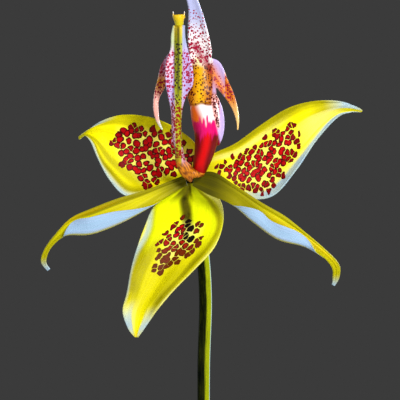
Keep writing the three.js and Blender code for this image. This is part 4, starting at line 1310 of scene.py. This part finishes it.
def bulb_scale(plant, start, turn, height):
    """A dry scale leaf that clasps the foot of a pseudobulb."""
    path, wide, deep = bulb_shape(plant)
    bm = grid(30, 20)
    for v in bm.verts:
        angle = math.radians(turn) + v.co.x * SCALE_WRAP
        up = (v.co.y + 1) / 2
        top = height * (1 - 0.7 * abs(v.co.x) ** 2.2)
        t = between(start, start + top, up)
        swell = 1.05 + 0.05 * up + 0.03 * noise.noise(Vector((angle * 3, up * 5, turn)))
        x = along(wide, t) * swell * math.cos(angle)
        y = along(deep, t) * swell * math.sin(angle)
        v.co = along(path, t) + Vector((x, y, 0))
    name = "scale_%s_%d" % (plant["name"], turn)
    thicken(piece(name, mesh_of(name, bm), [DRY_SKIN], "sheath"), SCALE_THICKNESS)


for plant in PLANTS:
    leaf(plant)
    pseudobulb(plant)
    bulb_scale(plant, 0.02, 250, 0.5)
    bulb_scale(plant, 0.0, 60, 0.42)

# Roots.
RHIZOME_LEVEL = 81.5
RHIZOME_WAY = ((-38, -2), (-30, 4), (-18, 18), (-6, 27), (12, 22), (27, 8), (34, 2))
RHIZOME = [(x, y, RHIZOME_LEVEL) for x, y in RHIZOME_WAY]
RHIZOME_WIDE = [2, 4.2, 4.2, 4.2, 4.2, 4.2, 2]
ROOT_WIDE = [2, 1.5]
ROOTS = [
    [(-16, 16, 82), (-14, 9, 92), (-11, -6, 97), (-16, -22, 96.5), (-26, -33, 95), (-31, -38, 84)],
    [(18, 16, 82), (15, 3, 91), (10, -10, 97), (12, -26, 96.5), (20, -38, 95), (22, -46, 84)],
    [(-34, 0, 82), (-42, -8, 92), (-41, -18, 96), (-38, -25, 95), (-40, -29, 84)],
    [(28, 6, 82), (38, -6, 92), (42, -16, 96.5), (38, -27, 95), (40, -32, 84)],
    [(2, 26, 82), (10, 33, 92), (17, 40, 96), (10, 47, 95), (2, 49, 84)],
]


def root_skin():
    """Chalky white skin, green where it is thin and stained brown by the bark."""
    material, tree, shader = new_material("root_skin", roughness=0.85)
    mottle = mottled(tree, 5.0, 0.5)
    colour = blend(tree, mottle["Clouds"], ROOT_WHITE, ROOT_GREEN)
    colour = blend(tree, rise(tree, mottle["Fine"], 0.55, 0.75), colour, ROOT_STAIN)
    dress(tree, shader, colour, mottle["Fine"], 0.4)
    return material


root_bm = tube(RHIZOME, RHIZOME_WIDE, RHIZOME_WIDE, front=UPWARDS, sides=20, steps=40)
for root in ROOTS:
    added(root_bm, tube(root, ROOT_WIDE, ROOT_WIDE, front=UPWARDS, sides=14, steps=60, ends=0.02))
for v in root_bm.verts:
    v.co += 0.3 * noise.noise_vector(v.co / 3)
piece("roots", mesh_of("roots", root_bm), [root_skin()], "root", "rhizome_and_roots")


# Pot.
RIM_FOOT = POT_HEIGHT - POT_RIM_BAND
RIM_OVERHANG = 5
CORNER_RADIUS = 1.4


def pot_outer(z):
    return POT_BASE_RADIUS + (POT_RIM_RADIUS - RIM_OVERHANG - POT_BASE_RADIUS) * z / RIM_FOOT


def pot_inner(z):
    return pot_outer(min(z, POT_HEIGHT)) - POT_WALL


def turned(bm, profile, steps=128):
    """A closed body turned from a profile of [radius, height], which starts and ends on the axis."""
    points = [bm.verts.new((r, 0, z)) for r, z in profile]
    lines = [bm.edges.new(pair) for pair in zip(points, points[1:])]
    bmesh.ops.spin(
        bm, geom=points + lines, axis=(0, 0, 1), cent=(0, 0, 0), angle=math.tau, steps=steps,
        use_merge=True)
    bmesh.ops.remove_doubles(bm, verts=bm.verts, dist=1e-4)
    bmesh.ops.recalc_face_normals(bm, faces=bm.faces)


def rounded(profile, radius):
    """The profile with each inner corner replaced by a short arc."""
    points = [profile[0]]
    for before, corner, after in zip(profile, profile[1:], profile[2:]):
        corner, before, after = Vector(corner), Vector(before), Vector(after)
        cut_in = min(radius, (corner - before).length * 0.45)
        cut_out = min(radius, (after - corner).length * 0.45)
        first = corner + (before - corner).normalized() * cut_in
        last = corner + (after - corner).normalized() * cut_out
        for share in (0, 0.25, 0.5, 0.75, 1):
            points.append(first.lerp(corner, share).lerp(corner.lerp(last, share), share))
    points.append(profile[-1])
    return [tuple(p) for p in points]


def fired_clay():
    """Unglazed orange clay: cloudy in the firing, gritty, with a white bloom of lime and a little
    green growth low on the wall."""
    material, tree, shader = new_material("fired_clay", roughness=0.85)
    place = object_mm(tree)
    clouds = mottled(tree, 40.0, 0.9)
    patches = mottled(tree, 14.0, 2.5)["Clouds"]
    lime = calc(tree, "MULTIPLY", rise(tree, patches, 0.55, 1.0), rise(tree, clouds["Clouds"], 0.2, 0.9))
    low = rise(tree, split(tree, place)[2], 96, 70)
    moss = calc(tree, "MULTIPLY", low, rise(tree, patches, 0.5, 0.1))
    colour = blend(tree, clouds["Clouds"], CLAY, CLAY_LIGHT)
    colour = stained(tree, colour, rise(tree, clouds["Fine"], 0.5, 0.75), 0.3, CLAY_GRIT)
    colour = stained(tree, colour, lime, 0.45, CLAY_LIME)
    colour = stained(tree, colour, moss, 0.22, CLAY_MOSS)
    rings = {"Vector": place, "Scale": 0.09, "Distortion": 2.0}
    turning_marks = add_node(tree, "TexWave", rings, bands_direction="Z").outputs["Fac"]
    relief = calc(tree, "MULTIPLY_ADD", turning_marks, 0.35, clouds["Fine"])
    dress(tree, shader, colour, relief, 0.5)
    return material


POT_PROFILE = [
    (0, 0), (POT_BASE_RADIUS - 1, 0), (POT_BASE_RADIUS, 1), (pot_outer(RIM_FOOT), RIM_FOOT),
    (POT_RIM_RADIUS - 2.5, RIM_FOOT + 1), (POT_RIM_RADIUS - 1.6, RIM_FOOT + 3),
    (POT_RIM_RADIUS, POT_HEIGHT - 3), (POT_RIM_RADIUS - 1.5, POT_HEIGHT),
    (pot_inner(POT_HEIGHT) + 1.5, POT_HEIGHT),
    (pot_inner(POT_HEIGHT), POT_HEIGHT - 2), (pot_inner(POT_FLOOR), POT_FLOOR), (0, POT_FLOOR),
]
pot_bm = bmesh.new()
turned(pot_bm, rounded(POT_PROFILE, CORNER_RADIUS))
pot_work = linked("pot_work", mesh_of("pot_work", pot_bm), [])
drain_bm = bmesh.new()
for k in range(4):
    drain_angle = math.radians(45 + 90 * k)
    drain_x = DRAIN_CIRCLE * math.cos(drain_angle)
    drain_y = DRAIN_CIRCLE * math.sin(drain_angle)
    spot = Matrix.Translation((drain_x, drain_y, POT_FLOOR / 2))
    bmesh.ops.create_cone(
        drain_bm, cap_ends=True, segments=40, radius1=DRAIN_RADIUS, radius2=DRAIN_RADIUS,
        depth=DRILL_LENGTH, matrix=spot)
drain_work = linked("drain_work", mesh_of("drain_work", drain_bm), [])
drill = pot_work.modifiers.new("Drains", "BOOLEAN")
drill.object = drain_work
drill.operation = "DIFFERENCE"
drill.solver = "EXACT"
pot_mesh = applied(pot_work)
bpy.data.objects.remove(drain_work)
piece("clay_pot", pot_mesh, [fired_clay()], "clay", "pot")


# Bark.
def bark_skin():
    """Chips of brown bark, each of its own shade, layered and rough, with a corky red side."""
    material, tree, shader = new_material("bark_skin", roughness=0.92)
    fine = mottled(tree, 3.0, 0.5)["Fine"]
    layers = cloud_noise(tree, stretched(tree, object_mm(tree), (0.25, 0.25, 1.6)), 1.2, 4.0)
    colour = attribute(tree, "tone")["Color"]
    colour = stained(tree, colour, rise(tree, layers, 0.4, 0.62), 0.7, BARK_GROOVE)
    colour = stained(tree, colour, rise(tree, fine, 0.6, 0.8), 0.4, BARK_CORK)
    dress(tree, shader, colour, calc(tree, "ADD", layers, fine), 0.9)
    return material


CHIPS = 190
GOLDEN_TURN = math.pi * (3 - math.sqrt(5))
BARK_ROOM = 6


def chip_of(draw, i):
    """One chip of bark, worn at its corners, laid on its place in the spiral."""
    chip = bmesh.new()
    tone = chip.verts.layers.float_color.new("tone")
    bmesh.ops.create_cube(chip, size=1)
    bmesh.ops.subdivide_edges(chip, edges=chip.edges, cuts=2, use_grid_fill=True)
    size = Vector((draw.uniform(9, 19), draw.uniform(6, 11), draw.uniform(2.5, 5.5)))
    for v in chip.verts:
        v.co *= 1 - 0.22 * max(v.co.length - 0.55, 0) / 0.3
        v.co += 0.12 * noise.noise_vector(v.co * 2.2 + Vector((i * 7.3, 0, 0)))
        v.co *= size
    pitch = Matrix.Rotation(draw.uniform(-0.45, 0.45), 4, "X")
    roll = Matrix.Rotation(draw.uniform(-0.4, 0.4), 4, "Y")
    turn = Matrix.Rotation(draw.uniform(0, math.pi), 4, "Z")
    r = (pot_inner(BARK_LEVEL) - BARK_ROOM) * math.sqrt((i + 0.5) / CHIPS)
    angle = i * GOLDEN_TURN
    spot = Vector((r * math.cos(angle), r * math.sin(angle), BARK_LEVEL - 1 + draw.uniform(-1, 3)))
    bmesh.ops.transform(chip, matrix=Matrix.Translation(spot) @ turn @ (pitch @ roll), verts=chip.verts)
    second = mixed(BARK_TAN, BARK_DARK, draw.random())
    shade = mixed(BARK_BROWN, second, draw.random())
    for v in chip.verts:
        v[tone] = shade
        out = math.hypot(v.co.x, v.co.y)
        most = pot_inner(v.co.z) - 2 * GAP
        if out > most:
            v.co.x *= most / out
            v.co.y *= most / out
    return chip


def chips():
    """The bed of bark, with loose chips scattered over it on a golden spiral."""
    draw = random.Random(SEED)
    bm = bmesh.new()
    tone = bm.verts.layers.float_color.new("tone")
    foot = POT_FLOOR + GAP
    top = BARK_LEVEL - 2
    foot_radius = pot_inner(foot) - 2 * GAP
    top_radius = pot_inner(BARK_LEVEL) - 2 * GAP
    turned(bm, [(0, foot), (foot_radius, foot), (top_radius, top), (0, top)], steps=64)
    for v in bm.verts:
        v[tone] = BARK_BED
    for i in range(CHIPS):
        added(bm, chip_of(draw, i))
    return bm


piece("bark", mesh_of("bark", chips()), [bark_skin()], "bark", "bark_mix")


# Floor, light and camera.
FLOOR_RADIUS = 1200


def plain_floor():
    material, tree, shader = new_material("plain_floor", roughness=0.8)
    clouds = mottled(tree, 300.0, 4.0)["Clouds"]
    feed(tree, shader.inputs["Base Color"], stained(tree, FLOOR_LIGHT, clouds, 0.3, FLOOR_GREY))
    return material


floor_bm = bmesh.new()
bmesh.ops.create_circle(floor_bm, cap_ends=True, segments=96, radius=FLOOR_RADIUS)
linked("floor", mesh_of("floor", floor_bm), [plain_floor()])


FLOWER = Vector((0, 0, FLOWER_HEIGHT * MM))


def lamp(name, spot, size, power, colour):
    """A round lamp that shines on the flower."""
    light = bpy.data.lights.new(name, "AREA")
    light.shape = "DISK"
    light.size = size
    light.energy = power
    light.color = colour
    obj = bpy.data.objects.new(name, light)
    obj.location = spot
    obj.rotation_euler = (FLOWER - Vector(spot)).to_track_quat("-Z", "Y").to_euler()
    bpy.context.scene.collection.objects.link(obj)


WARM = (1, 0.98, 0.94)
NEUTRAL = (0.95, 0.97, 1)
COOL = (0.86, 0.94, 1)
lamp("key", (0.5, -1, 0.8), 0.36, 15.5, WARM)
lamp("fill", (-0.8, -0.9, 0.45), 0.8, 2.5, NEUTRAL)
lamp("rim_right", (0.75, 0.6, 0.6), 0.3, 14, COOL)
lamp("rim_left", (-0.7, 0.65, 0.55), 0.3, 2.5, COOL)

world = bpy.data.worlds.new("studio")
world.use_nodes = True
world_tree = world.node_tree
world_tree.nodes.clear()
seen = add_node(world_tree, "LightPath").outputs["Is Camera Ray"]
soft = add_node(world_tree, "Background", {"Color": STUDIO_LIGHT, "Strength": 0.2})
dark = add_node(world_tree, "Background", {"Color": STUDIO_DARK, "Strength": 1.0})
shown = add_node(world_tree, "MixShader", {0: seen, 1: soft.outputs[0], 2: dark.outputs[0]})
add_node(world_tree, "OutputWorld", {"Surface": shown.outputs[0]})
bpy.context.scene.world = world
bpy.context.scene.view_settings.view_transform = "Standard"

CAMERA_AWAY = 900
CAMERA_RIGHT = 3.8
CAMERA_HEIGHT = 336.64
FRAME_WIDTH = 152
camera = bpy.data.cameras.new("camera")
camera.sensor_width = 36
camera.lens = camera.sensor_width * CAMERA_AWAY / FRAME_WIDTH
camera.clip_start = 0.01
camera_object = bpy.data.objects.new("camera", camera)
camera_object.location = (CAMERA_RIGHT * MM, -CAMERA_AWAY * MM, CAMERA_HEIGHT * MM)
camera_object.rotation_euler = (math.radians(90), 0, 0)
bpy.context.scene.collection.objects.link(camera_object)
bpy.context.scene.camera = camera_object
